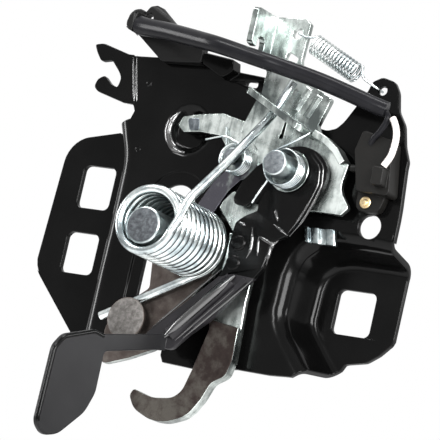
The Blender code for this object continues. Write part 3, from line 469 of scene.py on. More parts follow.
def pressed(node, finishes, width=0.3, limit=30.0, smooth=50.0, choose=None, cut=None):
    """Copy of a sheet-metal node with its loose triangles joined, sheared edges broken by a small
    round, and bends shaded smooth, all inside the node's own box.  choose(face) gives the index of
    a face's finish, and cut is the part that a piece of its own stands for."""
    bm = bmesh.new()
    bm.from_mesh(nodes[node].data)
    bmesh.ops.remove_doubles(bm, verts=bm.verts, dist=2e-6)
    bmesh.ops.recalc_face_normals(bm, faces=bm.faces)
    if choose:
        for face in bm.faces:
            face.material_index = choose(face)
    obj = from_bmesh(node + "_dressed", bm, finishes)
    if cut:
        carve(obj, [cutter(*cut)])
    ease_edges(obj, width, limit, smooth)
    solid = nodes[node].data.vertices
    low = [min(v.co[k] for v in solid) for k in range(3)]
    high = [max(v.co[k] for v in solid) for k in range(3)]
    for vert in obj.data.vertices:
        vert.co = [min(max(vert.co[k], low[k]), high[k]) for k in range(3)]
    return adopt(level_flats(obj), node)


def ahead(x, depth, z):
    """Point at a depth in front of the web's front face."""
    return Vector((x, -(WEB_FRONT + depth), z))


def smooth_route(points, spacing):
    """Points read from a smooth curve through the route's own points."""
    pts = [Vector(p) for p in points]
    pts = [pts[0] * 2 - pts[1]] + pts + [pts[-1] * 2 - pts[-2]]
    out = []
    for i in range(1, len(pts) - 2):
        p0, p1, p2, p3 = pts[i - 1:i + 3]
        count = max(2, round((p2 - p1).length / spacing))
        for k in range(count):
            t = k / count
            out.append(0.5 * ((2 * p1) + (p2 - p0) * t + (2 * p0 - 5 * p1 + 4 * p2 - p3) * t * t
                              + (3 * p1 - 3 * p2 + p3 - p0) * t ** 3))
    out.append(pts[-2])
    return out


def bend_points(points, radius, count=8):
    """A line of points with its inner corners rounded."""
    pts = [Vector(p) for p in points]
    out = [pts[0]]
    for a, b, c in zip(pts, pts[1:], pts[2:]):
        before, after = a - b, c - b
        reach = min(radius, before.length * 0.45, after.length * 0.45)
        first, last = b + before.normalized() * reach, b + after.normalized() * reach
        for k in range(count + 1):
            t = k / count
            out.append(first * (1 - t) ** 2 + b * 2 * t * (1 - t) + last * t * t)
    out.append(pts[-1])
    return out


def coil(centre, radius, rear, front, start_deg, turn_deg, per_turn=56):
    """Points along a helix about an axis parallel to Y, from the rear to the front."""
    steps = max(4, round(abs(turn_deg) / 360 * per_turn))
    out = []
    for i in range(steps + 1):
        a = math.radians(start_deg + turn_deg * i / steps)
        depth = rear + (front - rear) * i / steps
        out.append(Vector((centre[0] + radius * math.cos(a), -depth, centre[1] + radius * math.sin(a))))
    return out


def drawn_wire_tree():
    """Geometry Nodes: a round section swept along a route, scaled point by point by the route's
    own width attribute."""
    tree = bpy.data.node_groups.new("drawn_wire", "GeometryNodeTree")
    face = tree.interface
    face.new_socket("Route", in_out="INPUT", socket_type="NodeSocketGeometry")
    for name, kind, value in (("Wire radius", "NodeSocketFloat", 0.001), ("Sides", "NodeSocketInt", 16),
                              ("Finish", "NodeSocketMaterial", None)):
        socket = face.new_socket(name, in_out="INPUT", socket_type=kind)
        if value is not None:
            socket.default_value = value
    face.new_socket("Wire", in_out="OUTPUT", socket_type="NodeSocketGeometry")
    given = add(tree, "NodeGroupInput").outputs
    line = add(tree, "GeometryNodeMeshToCurve", links={"Mesh": given["Route"]})
    section = add(tree, "GeometryNodeCurvePrimitiveCircle",
                  links={"Resolution": given["Sides"], "Radius": given["Wire radius"]})
    width = add(tree, "GeometryNodeInputNamedAttribute", {"data_type": "FLOAT", "Name": "width"})
    sweep = add(tree, "GeometryNodeCurveToMesh", {"Fill Caps": True},
                {"Curve": line.outputs[0], "Profile Curve": section.outputs[0],
                 "Scale": width.outputs["Attribute"]})
    soft = add(tree, "GeometryNodeSetShadeSmooth", links={"Geometry": sweep.outputs[0]})
    whole = add(tree, "GeometryNodeRealizeInstances", links={"Geometry": soft.outputs[0]})
    dressed = add(tree, "GeometryNodeSetMaterial",
                  links={"Geometry": whole.outputs[0], "Material": given["Finish"]})
    add(tree, "NodeGroupOutput", links={"Wire": dressed.outputs[0]})
    return tree


WIRE_TREE = drawn_wire_tree()


def drawn(name, points, radius, finish, sides=18, widths=None):
    """Round wire along points in millimetres, made by the drawn_wire tree."""
    mesh = bpy.data.meshes.new(name)
    mesh.from_pydata([Vector(p) * MM for p in points], [(i, i + 1) for i in range(len(points) - 1)], [])
    width = mesh.attributes.new("width", "FLOAT", "POINT")
    for item, value in zip(width.data, widths or [1.0] * len(points)):
        item.value = value
    obj = in_scene(name, mesh)
    made = obj.modifiers.new("wire", "NODES")
    made.node_group = WIRE_TREE
    ids = {item.name: item.identifier for item in WIRE_TREE.interface.items_tree
           if item.item_type == "SOCKET"}
    made[ids["Wire radius"]] = radius * MM
    made[ids["Sides"]] = sides
    made[ids["Finish"]] = finish
    obj.data.update()
    settle(obj)
    shade(obj, 50)
    return obj


def lathe(name, centre, profile, finishes, sides=72, face_from=None):
    """Turned piece about an axis along Y; profile is (depth, radius), rear to front.  Faces at or
    in front of the depth face_from take the second finish."""
    bm = bmesh.new()
    rings = turned_rings(bm, centre, profile, sides)
    for a, b in zip(rings, rings[1:]):
        skin(bm, a, b)
    cap(bm, rings)
    if face_from is not None:
        for face in bm.faces:
            if all(v.co.y <= -(face_from - 0.001) * MM for v in face.verts):
                face.material_index = 1
    obj = from_bmesh(name, bm, finishes)
    shade(obj, 32)
    return obj


def washer(name, centre, inner, outer, rear, front, finish, sides=72):
    """Flat ring with its outer edges broken."""
    c = 0.15
    profile = [(rear, inner), (rear, outer - c), (rear + c, outer), (front - c, outer),
               (front, outer - c), (front, inner)]
    bm = bmesh.new()
    rings = turned_rings(bm, centre, profile, sides)
    for a, b in zip(rings, rings[1:] + rings[:1]):
        skin(bm, a, b)
    bmesh.ops.recalc_face_normals(bm, faces=bm.faces)
    obj = from_bmesh(name, bm, [finish])
    shade(obj, 32)
    return obj


# Sheet-metal pieces

def corners(points, step=10.0):
    """Closed outline from corner points (a, b) or (a, b, radius)."""
    out = []
    count = len(points)
    for i, point in enumerate(points):
        here = Vector(point[:2])
        if len(point) == 2:
            out.append(here)
            continue
        before = Vector(points[i - 1][:2]) - here
        after = Vector(points[(i + 1) % count][:2]) - here
        half = before.angle(after) / 2
        reach = min(point[2] / math.tan(half), before.length * 0.49, after.length * 0.49)
        radius = reach * math.tan(half)
        inward = (before.normalized() + after.normalized()).normalized()
        middle = here + inward * (radius / math.sin(half))
        first = here + before.normalized() * reach
        last = here + after.normalized() * reach
        turn = (first - middle).angle_signed(last - middle)
        steps = max(1, round(abs(math.degrees(turn)) / step))
        for k in range(steps + 1):
            spoke = (first - middle).copy()
            spoke.rotate(Matrix.Rotation(-turn * k / steps, 2))
            out.append(middle + spoke)
    return out


def circle(centre, radius, sides=48):
    return [Vector((centre[0] + radius * math.cos(2 * math.pi * i / sides),
                    centre[1] + radius * math.sin(2 * math.pi * i / sides))) for i in range(sides)]


def cutter(loop, rear, front):
    """Prism between two depths forward of the fixing plane, for a Boolean."""
    bm = bmesh.new()
    ends = [[bm.verts.new(Vector((p[0], -depth, p[1])) * MM) for p in loop] for depth in (rear, front)]
    skin(bm, *ends)
    cap(bm, ends)
    return from_bmesh("cutter", bm, [COAT])


def window(x, z, width, height, round_r=2.5):
    """Outline of a rectangle with round corners about a point."""
    w, h = width / 2, height / 2
    return corners([(x - w, z - h, round_r), (x + w, z - h, round_r),
                    (x + w, z + h, round_r), (x - w, z + h, round_r)])


def carve(obj, tools, operation="DIFFERENCE"):
    """Booleans made real, and their tools removed."""
    for tool in tools:
        cut = obj.modifiers.new("cut", "BOOLEAN")
        cut.operation = operation
        cut.solver = "EXACT"
        cut.object = tool
    settle(obj)
    for tool in tools:
        bpy.data.objects.remove(tool, do_unlink=True)


def arc(a, b, c, t):
    """Point at t on the soft bend from a to c round the corner b."""
    return a * (1 - t) ** 2 + b * 2 * t * (1 - t) + c * t * t


def stepped_wall(front_line, rear_line):
    """Rows of points that carry a soft step from the web to a flange, row by row."""
    front_line = bend_points([Vector(p) for p in front_line], 7.0, 5)
    rear_line = bend_points([Vector(p) for p in rear_line], 7.0, 5)
    rows = [[] for _ in range(2 * BEND_STEPS + 2)]
    share = BEND / (FACE_Y - WEB_Y)
    last = len(front_line) - 1
    for i, (a, b) in enumerate(zip(front_line, rear_line)):
        along = (front_line[min(i + 1, last)] - front_line[max(i - 1, 0)]).normalized()
        side = Vector((along.y, -along.x))
        if side.dot(b - a) < 0:
            side = -side
        high, low = a.lerp(b, share), b.lerp(a, share)
        for k in range(BEND_STEPS + 1):
            t = k / BEND_STEPS
            fore = arc(a - side * BEND, a, high, t)
            rows[k].append((fore.x, arc(WEB_Y, WEB_Y, WEB_Y + BEND, t), fore.y))
            aft = arc(low, b, b + side * BEND, t)
            rows[BEND_STEPS + 1 + k].append((aft.x, arc(FACE_Y - BEND, FACE_Y, FACE_Y, t), aft.y))
    return rows


LEFT_WALL = stepped_wall([(22.5, -50), (22.5, -15), (22.4, 23), (16.9, 36.7)],
                         [(18.5, -50), (18.5, -15), (18.4, 23), (12.9, 36.7)])
RIGHT_WALL = stepped_wall([(142.1, 1.5), (130, 2.0), (118.2, 2.3), (110.5, -0.6), (105.6, -5.6),
                           (103.6, -11), (102.7, -28), (105.2, -34.2), (112.5, -42.6), (117.0, -48)],
                          [(142.1, -1.8), (130, -1.7), (119.6, -1.6), (112.2, -3.4), (107.3, -7.4),
                           (105.7, -12.2), (104.9, -27), (107.3, -32.6), (114.2, -40.6), (119.4, -46)])
WEB_TOP = [(21.9, 41.3), (20.7, 44), (15.6, 44.3), (3.2, 47.5), (1.2, 49.4), (2.2, 52.6),
           (5.1, 54.2), (8.6, 51), (11.6, 50), (12.1, 51.2), (12.5, 53.8), (11.1, 56),
           (6.7, 60.5), (1.8, 59.6), (-1, 63.1), (-2.7, 66.2), (1.3, 66.9), (15.6, 63.1),
           (26.5, 63.5), (46.7, 67), (61, 65), (61, 61.2), (75.6, 60), (91.3, 47.9),
           (101.8, 43.1), (106, 42.2), (109.8, 43.4), (112.6, 46.6), (119.4, 58.9),
           (120.4, 62.6), (124.3, 64.7), (129.6, 63.4), (132, 59.7), (133.6, 52.6),
           (137.2, 47.6), (139.2, 39.8), (141.8, 34), (141.7, 31.7), (143, 16.7),
           (143.2, 12.2), (143.2, 3.2)]
WEB_FOOT = [(112.2, -50.9), (104.3, -51.5), (90.3, -51.3), (73.3, -53.7), (59, -53.1),
            (56.6, -48.8), (43.5, -50)]
LEFT_FLANGE = [(12.9, 36.7), (5.3, 36.4), (-17.0, 31.2, 12), (-19.2, -18, 3),
               (-18.5, -20.7), (-16.5, -24.5, 4), (4, -45.3), (9, -50, 3), (16.3, -50)]
RIGHT_PAD = [(117.6, -46), (119.0, -44.2), (124.5, -40.5, 3), (132.5, -38.8, 3), (137.1, -35.4, 3),
             (141.0, -31.1, 2), (141.8, -29.1, 2), (141.5, -5)]
DISH_TAPER = 5.2
DISH_SINK = 3.5


def plate_middle():
    """Middle surface of the plate's sheet: the two stepped walls, the web with its dish, and the
    left flange and right pad."""
    bm = bmesh.new()

    def put(points):
        return [bm.verts.new(Vector(p) * MM) for p in points]

    def fill(loops):
        flat = [put(loop) for loop in loops]
        tris = tessellate_polygon([[Vector((p[0], p[2], 0)) for p in loop] for loop in loops])
        every = [v for loop in flat for v in loop]
        for a, b, c in tris:
            bm.faces.new((every[a], every[b], every[c]))

    def at_web(points):
        return [(p[0], WEB_Y, p[1]) for p in points]

    def at_flange(points):
        return [(p[0], FACE_Y, p[1]) for p in points]

    for rows in (LEFT_WALL, RIGHT_WALL):
        for low, high in zip(rows, rows[1:]):
            a, b = put(low), put(high)
            for i in range(len(a) - 1):
                bm.faces.new((a[i], a[i + 1], b[i + 1], b[i]))

    outline = list(LEFT_WALL[0]) + at_web(bend_points([Vector(p) for p in WEB_TOP], 1.2, 4))
    outline += list(RIGHT_WALL[0]) + at_web(WEB_FOOT)
    fill([outline, at_web(circle(DISH, DISH_R))])
    last, steps = at_web(circle(DISH, DISH_R)), 8
    for k in range(1, steps + 1):
        radius = DISH_R - DISH_TAPER * k / steps
        sink = DISH_SINK * (1 - math.cos(math.pi * k / steps)) / 2
        ring = [(p.x, WEB_Y + sink, p.y) for p in circle(DISH, radius)]
        skin(bm, put(last), put(ring))
        last = ring
    fill([last])
    fill([list(LEFT_WALL[-1]) + at_flange(corners(LEFT_FLANGE)[1:-1])])
    fill([list(RIGHT_WALL[-1]) + at_flange(corners(RIGHT_PAD)[2:])])

    bmesh.ops.remove_doubles(bm, verts=bm.verts, dist=1e-6)
    bmesh.ops.triangulate(bm, faces=[f for f in bm.faces if len(f.verts) > 4])
    bmesh.ops.recalc_face_normals(bm, faces=bm.faces)
    return from_bmesh("base_plate_pressed", bm, [COAT])


SLOT_X, SLOT_TOP, HALF_SLOT, SLOT_STEP = 49.5, 6.9, 8.1, 5.1


def plate_openings():
    """Prisms for the windows, the striker's slot with the step round it, the dimples, the holes and
    the pins' bores."""
    def arch(radius, first_deg):
        turns = [math.radians(first_deg + (180 - first_deg) * k / 30) for k in range(31)]
        return [(SLOT_X + radius * math.cos(a), SLOT_TOP + radius * math.sin(a)) for a in turns]

    def through(loop):
        return cutter(loop, BEHIND_WEB, BEFORE_WEB)

    foot, step_depth, dimple_depth = -60, 21.7, 22.2
    tools = [cutter(window(x, z, w, h), -2, 5)
             for x, z, w, h in ((0.3, 13.3, 14.7, 17.2), (-0.4, -13.5, 14.5, 16.5),
                                (123.2, -21.2, 15.7, 17.0))]
    edge = HALF_SLOT + SLOT_STEP
    tools.append(cutter([(SLOT_X - edge, foot), (SLOT_X, foot), (SLOT_X, SLOT_TOP)] + arch(edge, 38),
                        step_depth, BEFORE_WEB))
    for spot in ((27.5, 26.8), (25.5, 52.5)):
        tools.append(cutter(circle(spot, 1.0, 24), dimple_depth, BEFORE_WEB))
    tools.append(through([(SLOT_X - HALF_SLOT, foot), (SLOT_X + HALF_SLOT, foot)] + arch(HALF_SLOT, 0)))
    tools.append(through(circle((132.0, 8.3), 4.5)))
    tools.append(through(circle((125.3, 59.6), 1.8, 32)))
    tools.append(through(corners([(68, 55.5, 0.8), (73, 55.5, 0.8), (73, 57.8, 0.8), (68, 57.8, 0.8)])))
    for axis, radius in ((CENTRAL, CENTRAL_R), (MAIN, MAIN_R), (PAWL, PAWL_R)):
        tools.append(through(circle(axis, radius * SHANK + 0.07, 24)))
    return tools


def base_plate():
    """The pressed plate once more, with round bends and eased corners."""
    obj = plate_middle()
    solid = obj.modifiers.new("sheet", "SOLIDIFY")
    solid.thickness = SHEET * MM
    solid.offset = 0
    solid.use_even_offset = True
    settle(obj)
    carve(obj, plate_openings())
    raised = corners([(49.8, 61.9, 1), (59.8, 56.9, 1.5), (63.9, 60.0, 1), (63.0, 64.4), (49.8, 66.1)])
    carve(obj, [cutter(raised, 21.2, 27.5)], "UNION")
    bm = bmesh.new()
    bm.from_mesh(obj.data)
    bmesh.ops.remove_doubles(bm, verts=bm.verts, dist=1e-5)
    bmesh.ops.triangulate(bm, faces=bm.faces)
    bm.to_mesh(obj.data)
    bm.free()
    adopt(level_flats(ease_edges(obj, 0.4, 60.0, 56.0, 3)), "base_plate")


def catch_hook():
    """The hook once more with rounder curves, thinner where the lever lies on it."""
    rear, step, front = 26.1, 28.6, 31.1
    loop = corners([(72.0, 7.0, 0.8), (73.0, 9.8), (76.5, 14.0, 1.5), (88.4, 9.8, 1), (90.6, -1.0),
                    (92.2, -17.8), (91.8, -27.0), (92.5, -37.0), (93.0, -49.5, 3), (91.6, -55.6, 4),
                    (86.4, -58.8, 5), (83.8, -65.4, 14), (79.4, -72.6, 12), (71.0, -76.0, 14),
                    (64.6, -76.2, 14), (56.3, -72.9, 8), (53.4, -68.1, 3), (54.8, -65.6, 1.2),
                    (63.2, -67.8, 14), (71.8, -66.6, 9), (75.1, -63.3, 7), (77.4, -54.7, 14),
                    (80.5, -39.4), (79.2, -30.0), (80.2, -19.8), (80.6, -6.0), (79.8, -1.4, 2),
                    (77.8, 0.9)], 5.0)
    obj = cutter(loop, rear, front)
    obj.name = "catch_hook_pressed"
    obj.data.materials[0] = ZINC
    obj.data.materials.append(HOOK_STEEL)
    above = [(60, -2.4), (100, -2.4), (100, 20), (60, 20)]
    shank = [(74, -34.6), (98, -37.9), (98, -19.5), (74, -19.5)]
    carve(obj, [cutter(part, step, front + 1.9) for part in (above, shank)])
    for face in obj.data.polygons:
        face.material_index = int(face.normal.y < FORWARD and face.center.z < -36.0 * MM)
    adopt(level_flats(ease_edges(obj, 0.35, 60.0, 45.0)), "catch_hook")


PADDLE_TURN = math.radians(15)
PADDLE_HALF = 1.1
PADDLE_REACH = 86.75


def paddle():
    """The catch lever's folded neck and finger paddle, with its rolled black rim.  Its outline is
    drawn in its own turned plane, (forward from the foot, up)."""
    way = Vector((-math.sin(PADDLE_TURN), -math.cos(PADDLE_TURN), 0.0))
    side = Vector((way.y, -way.x, 0.0))
    foot = Vector((65.0, -34.0, 0.0))
    loop = corners([(0.5, -44.1), (31.3, -51.6, 3), (36.0, -50.9, 4), (50.5, -56.1, 6),
                    (54.1, -61.2, 6), (54.4, -89.4, 5), (49.6, -93.1, 5), (42.7, -91.2, 10),
                    (32.2, -80.8, 12), (29.1, -73.0, 10), (29.4, -57.5, 2), (0.5, -50.0)], 6.0)

    def stand(p, half):
        return foot + way * p.x + side * half + Vector((0, 0, p.y))

    bm = bmesh.new()
    ends = [[bm.verts.new(stand(p, half) * MM) for p in loop] for half in (-PADDLE_HALF, PADDLE_HALF)]
    skin(bm, *ends)
    cap(bm, ends)
    obj = from_bmesh("paddle_pressed", bm, [GRIP_COAT])
    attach(ease_edges(obj, 0.5, 60.0, 45.0, 3), "catch_body")
    middle = Vector((44.0, -72.0))
    edge = [p + (middle - p).normalized() * 0.9 for p in loop
            if p.x > 31.0 and (p.y > -60.0 or p.x > 53.5)]
    rolled = drawn("paddle_rim", [stand(p, -0.75) for p in edge], 0.8, COAT, 16)
    for vert in rolled.data.vertices:
        vert.co.y = max(vert.co.y, -PADDLE_REACH * MM)
    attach(rolled, "catch_body")


def forward(face):
    """Index 1 for faces that look forward, 0 for sheared edges and the rest."""
    return int(face.normal.y < FORWARD)


def handled(face):
    """Index 2 on the arm's lower half, given a lighter black, and 1 on the folded neck in front of it,
    which takes the painted sheen.
    """
    middle = face.calc_center_median()
    if middle.z > -17.5 * MM:
        return 0
    return 1 if middle.y < -40.0 * MM and middle.z < -40.0 * MM else 2


base_plate()
pressed("catch_lever", [COAT, GRIP_COAT, ARM_COAT], 0.3, 40.0, 45.0, handled,
        cut=([(40, -96), (80, -96), (80, -43.2), (40, -43.2)], 36.6, 95))
paddle()
catch_hook()
pressed("lifter", [ZINC, STEEL], 0.3, 35.0, 45.0, forward)
pressed("pawl", [PAWL_ZINC], 0.3, 35.0, 45.0)
pressed("release_lever", [ZINC], 0.3, 35.0, 45.0)
pressed("switch_body", [SWITCH_BLACK], 0.35, 35.0, 45.0)
pressed("connector", [PLUG_BLACK], 0.5, 35.0, 45.0)
pressed("switch_plunger", [SWITCH_BLACK], 0.15, 45.0, 50.0)


# Turned pieces

def pin(node, centre, radius, tip, round_r, finishes):
    """Pin with its riveted head behind the web and a rounded front edge."""
    shank = radius * SHANK
    head_seat, shoulder = 19.7, 22.6
    profile = [(head_seat - 1.6, shank + 1.6), (head_seat - 1.3, shank + 2.0),
               (head_seat - 0.9, shank + 2.2), (head_seat, shank + 2.2), (head_seat, shank),
               (shoulder, shank), (shoulder, radius)]
    for k in range(5):
        a = math.pi / 2 * k / 4
        profile.append((tip - round_r + round_r * math.sin(a), radius - round_r + round_r * math.cos(a)))
    adopt(lathe(node + "_turned", centre, profile, finishes, 72, tip), node)


pin("main_pin", MAIN, MAIN_R, 68.6, 0.7, [PIN_ZINC, MAIN_FACE])
pin("central_pin", CENTRAL, CENTRAL_R, 46.0, 0.6, [PIN_ZINC, CENTRAL_FACE])
pin("pawl_pin", PAWL, PAWL_R, 34.0, 0.4, [PIN_ZINC, CENTRAL_FACE])
adopt(lathe("lifter_stud_turned", STUD,
            [(23.0, 2.29), (25.9, 2.29), (25.9, 3.7), (29.7, 3.7), (29.7, 7.85), (29.85, 8.0),
             (30.6, 8.0), (30.82, 7.9), (30.9, 7.7)], [STEEL, STUD_FACE], 72, 30.9), "lifter_stud")
adopt(washer("central_ring_turned", CENTRAL, 4.96, 8.0, 32.4, 33.6, ZINC), "central_ring")
for number, spot in ((1, (86.9, -6.4)), (2, (86.4, -14.0))):
    adopt(lathe("catch_rivet_%d_turned" % number, spot,
                [(26.2, 2.0), (34.7, 2.0), (34.7, 2.85), (34.8, 2.9), (35.0, 2.75), (35.15, 2.45),
                 (35.2, 2.0)], [COAT], 40), "catch_rivet_%d" % number)
adopt(lathe("switch_rivet_turned", (130.6, 16.1),
            [(22.8, 1.5), (26.9, 1.5), (26.9, 2.4), (27.1, 2.38), (27.2, 2.2), (27.2, 1.3), (27.5, 1.2),
             (27.72, 0.9), (27.78, 0.4)], [SWITCH_BLACK, BRASS], 40, 27.2), "switch_rivet")


def pleated_tab():
    """Folded clip tab: one section with two shallow grooves, (x, depth in front of the web), that
    drifts to the right on its way down."""
    section = [(107.3, 0.4), (120.9, 0.4), (120.9, 2.2), (120.4, 2.6), (117.2, 2.6), (116.6, 1.7),
               (114.2, 1.7), (113.6, 2.6), (111.0, 2.6), (110.5, 1.7), (109.4, 1.7), (108.9, 2.5),
               (107.6, 2.5), (107.3, 2.1)]
    narrowed, shift = 0.93, 7.4
    bm = bmesh.new()
    rows = [[bm.verts.new(ahead(x * narrowed + shift + drift, depth, z) * MM) for x, depth in section]
            for z, drift in ((4.9, -0.2), (4.6, -0.1), (0.9, 0.9), (0.7, 1.0), (-0.9, 1.3))]
    for a, b in zip(rows, rows[1:]):
        skin(bm, a, b)
    cap(bm, rows)
    obj = from_bmesh("clip_tab_folded", bm, [PIN_ZINC])
    edge = obj.modifiers.new("edge", "BEVEL")
    edge.width = 0.12 * MM
    edge.segments = 2
    edge.limit_method = "ANGLE"
    settle(obj)
    shade(obj, 40)
    adopt(obj, "clip_tab")


pleated_tab()


# Pressed creases of the catch lever and of the plate

def crease(name, body, points, radius):
    """Rounded ridge half sunk in a face, thin at its ends; points are (x, z, depth)."""
    line = [Vector((x, -depth, z)) for x, z, depth in points]
    if len(line) > 2:
        line = bend_points(line, 1.5, 6)
    else:
        line = [line[0].lerp(line[1], k / 12) for k in range(13)]
    count = len(line) - 1
    taper = [0.25 + 0.75 * min(1.0, 5 * min(i, count - i) / count) for i in range(count + 1)]
    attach(drawn(name, line, radius, CREASE_COAT, 16, taper), body)


# Ridge radius, depth of the face, and the line as (x, z)
ARM_CREASES = (
    (0.8, HUB_FACE, ((98.2, 2.7), (101.4, 1.0), (104.7, -0.8))),
    (0.8, ARM_FACE, ((95.6, -3.7), (100.0, -5.0), (101.8, -4.5))),
    (0.8, ARM_FACE, ((91.1, 0.0), (92.1, -3.9), (92.5, -8.3), (91.3, -11.7))),
    (0.7, HUB_FACE, ((97.5, 8.4), (99.5, 4.1))),
    (0.6, ARM_FACE, ((94.6, -3.2), (95.7, -10.3))),
    (0.8, ARM_FACE, ((102.8, -3.7), (100.6, -5.9), (100.2, -9.3), (100.2, -13.0))))
HUB_CREASES = (
    (0.45, HUB_FACE, ((108.4, 31.0), (113.2, 26.6), (114.2, 19.4), (112.0, 11.2), (109.2, 4.4),
                      (105.6, -1.0))),
    (0.4, HUB_FACE, ((106.9, 30.4), (111.8, 26.0), (112.7, 19.4), (110.5, 11.7), (107.7, 5.2),
                     (104.9, 0.5))),
    (0.7, ARM_FACE, ((84.9, 1.3), (88.0, 0.5))),
    (0.8, ARM_FACE, ((94.9, -3.1), (100.9, -5.2))),
    (0.5, ARM_FACE, ((100.2, -5.4), (99.6, -10.0), (98.4, -14.5))))
for title, creases in (("arm_crease", ARM_CREASES), ("hub_crease", HUB_CREASES)):
    for number, (radius, depth, line) in enumerate(creases):
        crease("%s_%d" % (title, number), "catch_body", [(x, z, depth) for x, z in line], radius)
for name, start_at, end_at, depth, radius in (
        ("arm_bead_ridge", (88.9, -18.8), (65.0, -45.7), 35.4, 1.9),
        ("arm_low_line", (73.6, -44.8), (97.0, -19.4), BEAD_FACE, 0.45),
        ("arm_mid_line", (70.6, -46.0), (93.8, -20.1), BEAD_FACE, 0.4),
        ("arm_top_line", (58.6, -42.6), (82.1, -17.1), ARM_FACE, 0.4)):
    crease(name, "catch_body", [(*start_at, depth), (*end_at, depth)], radius)

DISH_LIP_R, DISH_LIP_DEPTH, FLAP_DEPTH = 8.8, 21.6, 22.3
lip_turns = [math.radians(a) for a in range(128, 276, 12)]
crease("dish_lip", "frame", [(DISH[0] + DISH_LIP_R * math.cos(a), DISH[1] + DISH_LIP_R * math.sin(a),
                              DISH_LIP_DEPTH) for a in lip_turns], 1.7)
crease("flap_fold_left", "frame", [(16.0, 63.0, FLAP_DEPTH), (21.1, 44.2, FLAP_DEPTH)], 0.55)
crease("flap_fold_right", "frame", [(17.5, 63.2, FLAP_DEPTH), (22.2, 44.3, FLAP_DEPTH)], 0.55)


def pawl_end():
    """Thin darker zinc flat on the rounded end of the pawl's arm: painted shade of the small recess
    there.
    """
    loop = corners([(48.2, 40.2, 1.0), (53.3, 40.6, 1.0), (54.3, 35.8, 1.0), (50.2, 35.7, 1.0)])
    end = cutter(loop, 25.5, 25.95)
    end.name = "pawl_end_painted_shade"
    end.data.materials[0] = SHADED_ZINC
    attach(ease_edges(end, 0.15, 40.0, 40.0), "pawl_body")


pawl_end()


# Springs, sleeve and wires

MAIN_COIL = (65.5, -7.8)
MAIN_WIRE, RETURN_WIRE, SMALL_WIRE = 1.7, 0.5, 0.4


def main_spring():
    """The big torsion spring: eleven turns round the main pin, its rear leg to the lifter, and its
    front leg, drawn fixed where it stands, up behind the release lever's flap."""
    turns = coil(MAIN_COIL, 11.8, 28.0, 67.0, -60.8, 360.0 * 11 + 42.4)
    rear = bend_points([Vector((31.6, -28.0, -40.3)), Vector((47.3, -28.0, -31.5)),
                        Vector((64.0, -28.0, -22.1)), turns[0]], 4.0)
    adopt(drawn("main_spring_coil", rear[:-1] + turns, MAIN_WIRE, SPRING_ZINC, 22), "main_spring")
    front = bend_points([turns[-2], turns[-1], ahead(77.8, 43.3, -7.0), ahead(77.9, 39.9, 1.6),
                         ahead(83.7, 30.8, 17.0), ahead(89.8, 12.3, 44.0), ahead(93.8, 10.5, 56.6)],
                        6.0, 10)
    leg = drawn("main_spring_leg", front, MAIN_WIRE, SPRING_ZINC, 22)
    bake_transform(leg)


def small_spring(name, node, first_leg, turns, last_leg, last_round):
    """Small torsion spring: a leg, its turns and the other leg in one wire."""
    line = bend_points(first_leg + [turns[0]], 2.0)[:-1] + turns
    line += bend_points([turns[-1]] + last_leg, last_round)[1:]
    adopt(drawn(name, line, SMALL_WIRE, SPRING_ZINC, 12), node)


main_spring()
hub_rear, hub_front = 34.45, 40.225
small_spring("catch_spring_drawn", "catch_spring",
             [Vector((88.2, -33.8, 9.2)), Vector((89.9, -33.8, 13.2)), Vector((93.1, -hub_rear, 18.6))],
             coil(CENTRAL, 6.9, hub_rear, hub_front, 195.0, -360.0 * 5 - 68.0, 48),
             [Vector((105.9, -(hub_front - 1.2), 34.9)), Vector((107.6, -(hub_front - 2.6), 37.2))], 2.0)
pawl_rear, pawl_front = 29.45, 35.225
small_spring("pawl_spring_drawn", "pawl_spring",
             [Vector((66.4, -26.65, 38.2)), Vector((68.9, -27.25, 29.4))],
             coil((76.3, 25.3), 5.5, pawl_rear, pawl_front, 200.0, 1670.0, 48),
             [Vector((71.7, -pawl_front, 33.1)), Vector((63.6, -pawl_front, 30.7))], 2.5)


def return_route():
    """Extension spring: a hook at either end, drawn out to the axis, and fourteen turns between."""
    hook_a, hook_b = Vector((89.85, -31.2, 76.4)), Vector((124.3, -24.7, 59.6))
    axis = (hook_b - hook_a).normalized()
    up = axis.cross(Vector((0, 1, 0))).normalized()
    side = axis.cross(up)
    begin, end, radius, turns, per_turn = 8.5, 29.0, 3.5, 14, 36
    head = [hook_a + Vector((-0.1, 5.0, 0)), hook_a + Vector((-0.1, 0.4, 0)), hook_a + axis * 4.0]
    spun = []
    for i in range(turns * per_turn + 1):
        a = 2 * math.pi * i / per_turn
        spot = hook_a + axis * (begin + (end - begin) * i / (turns * per_turn))
        spun.append(spot + up * radius * math.cos(a) + side * radius * math.sin(a))
    tail = [hook_a + axis * (end + 2.4), hook_b + Vector((-0.1, 0.2, 0)), hook_b + Vector((-0.1, 4.8, 0))]
    return bend_points(head + [spun[0]], 2.5)[:-1] + spun + bend_points([spun[-1]] + tail, 2.5)[1:]


adopt(drawn("return_spring_drawn", return_route(), RETURN_WIRE, SPRING_ZINC, 12), "return_spring")

# Routes of the lead, as (x, depth in front of the web, z)
SLEEVE = [(21.1, 8.758, 73.2), (25.2, 9.758, 72.4), (38.6, 14.8, 70.1), (57.0, 22.2, 66.3),
          (69.0, 26.6, 63.7), (84.5, 26.8, 60.5), (93.6, 25.5, 58.8), (108.5, 19.5, 56.2),
          (118.8, 15.5, 53.8), (129.1, 11.5, 51.1), (134.0, 10.1, 50.0)]
WHITE_LEAD = [(134.9, 11.5, 49.4), (138.6, 11.9, 46.0), (140.9, 11.9, 40.6), (140.4, 11.5, 33.6),
              (138.2, 11.4, 28.9)]
BLACK_LEAD = [(132.6, 10.2, 50.2), (135.3, 10.6, 47.0), (133.4, 10.0, 42.4), (130.6, 9.0, 39.2),
              (129.4, 8.0, 37.2)]


def route(points, spacing):
    return smooth_route([ahead(*p) for p in points], spacing)


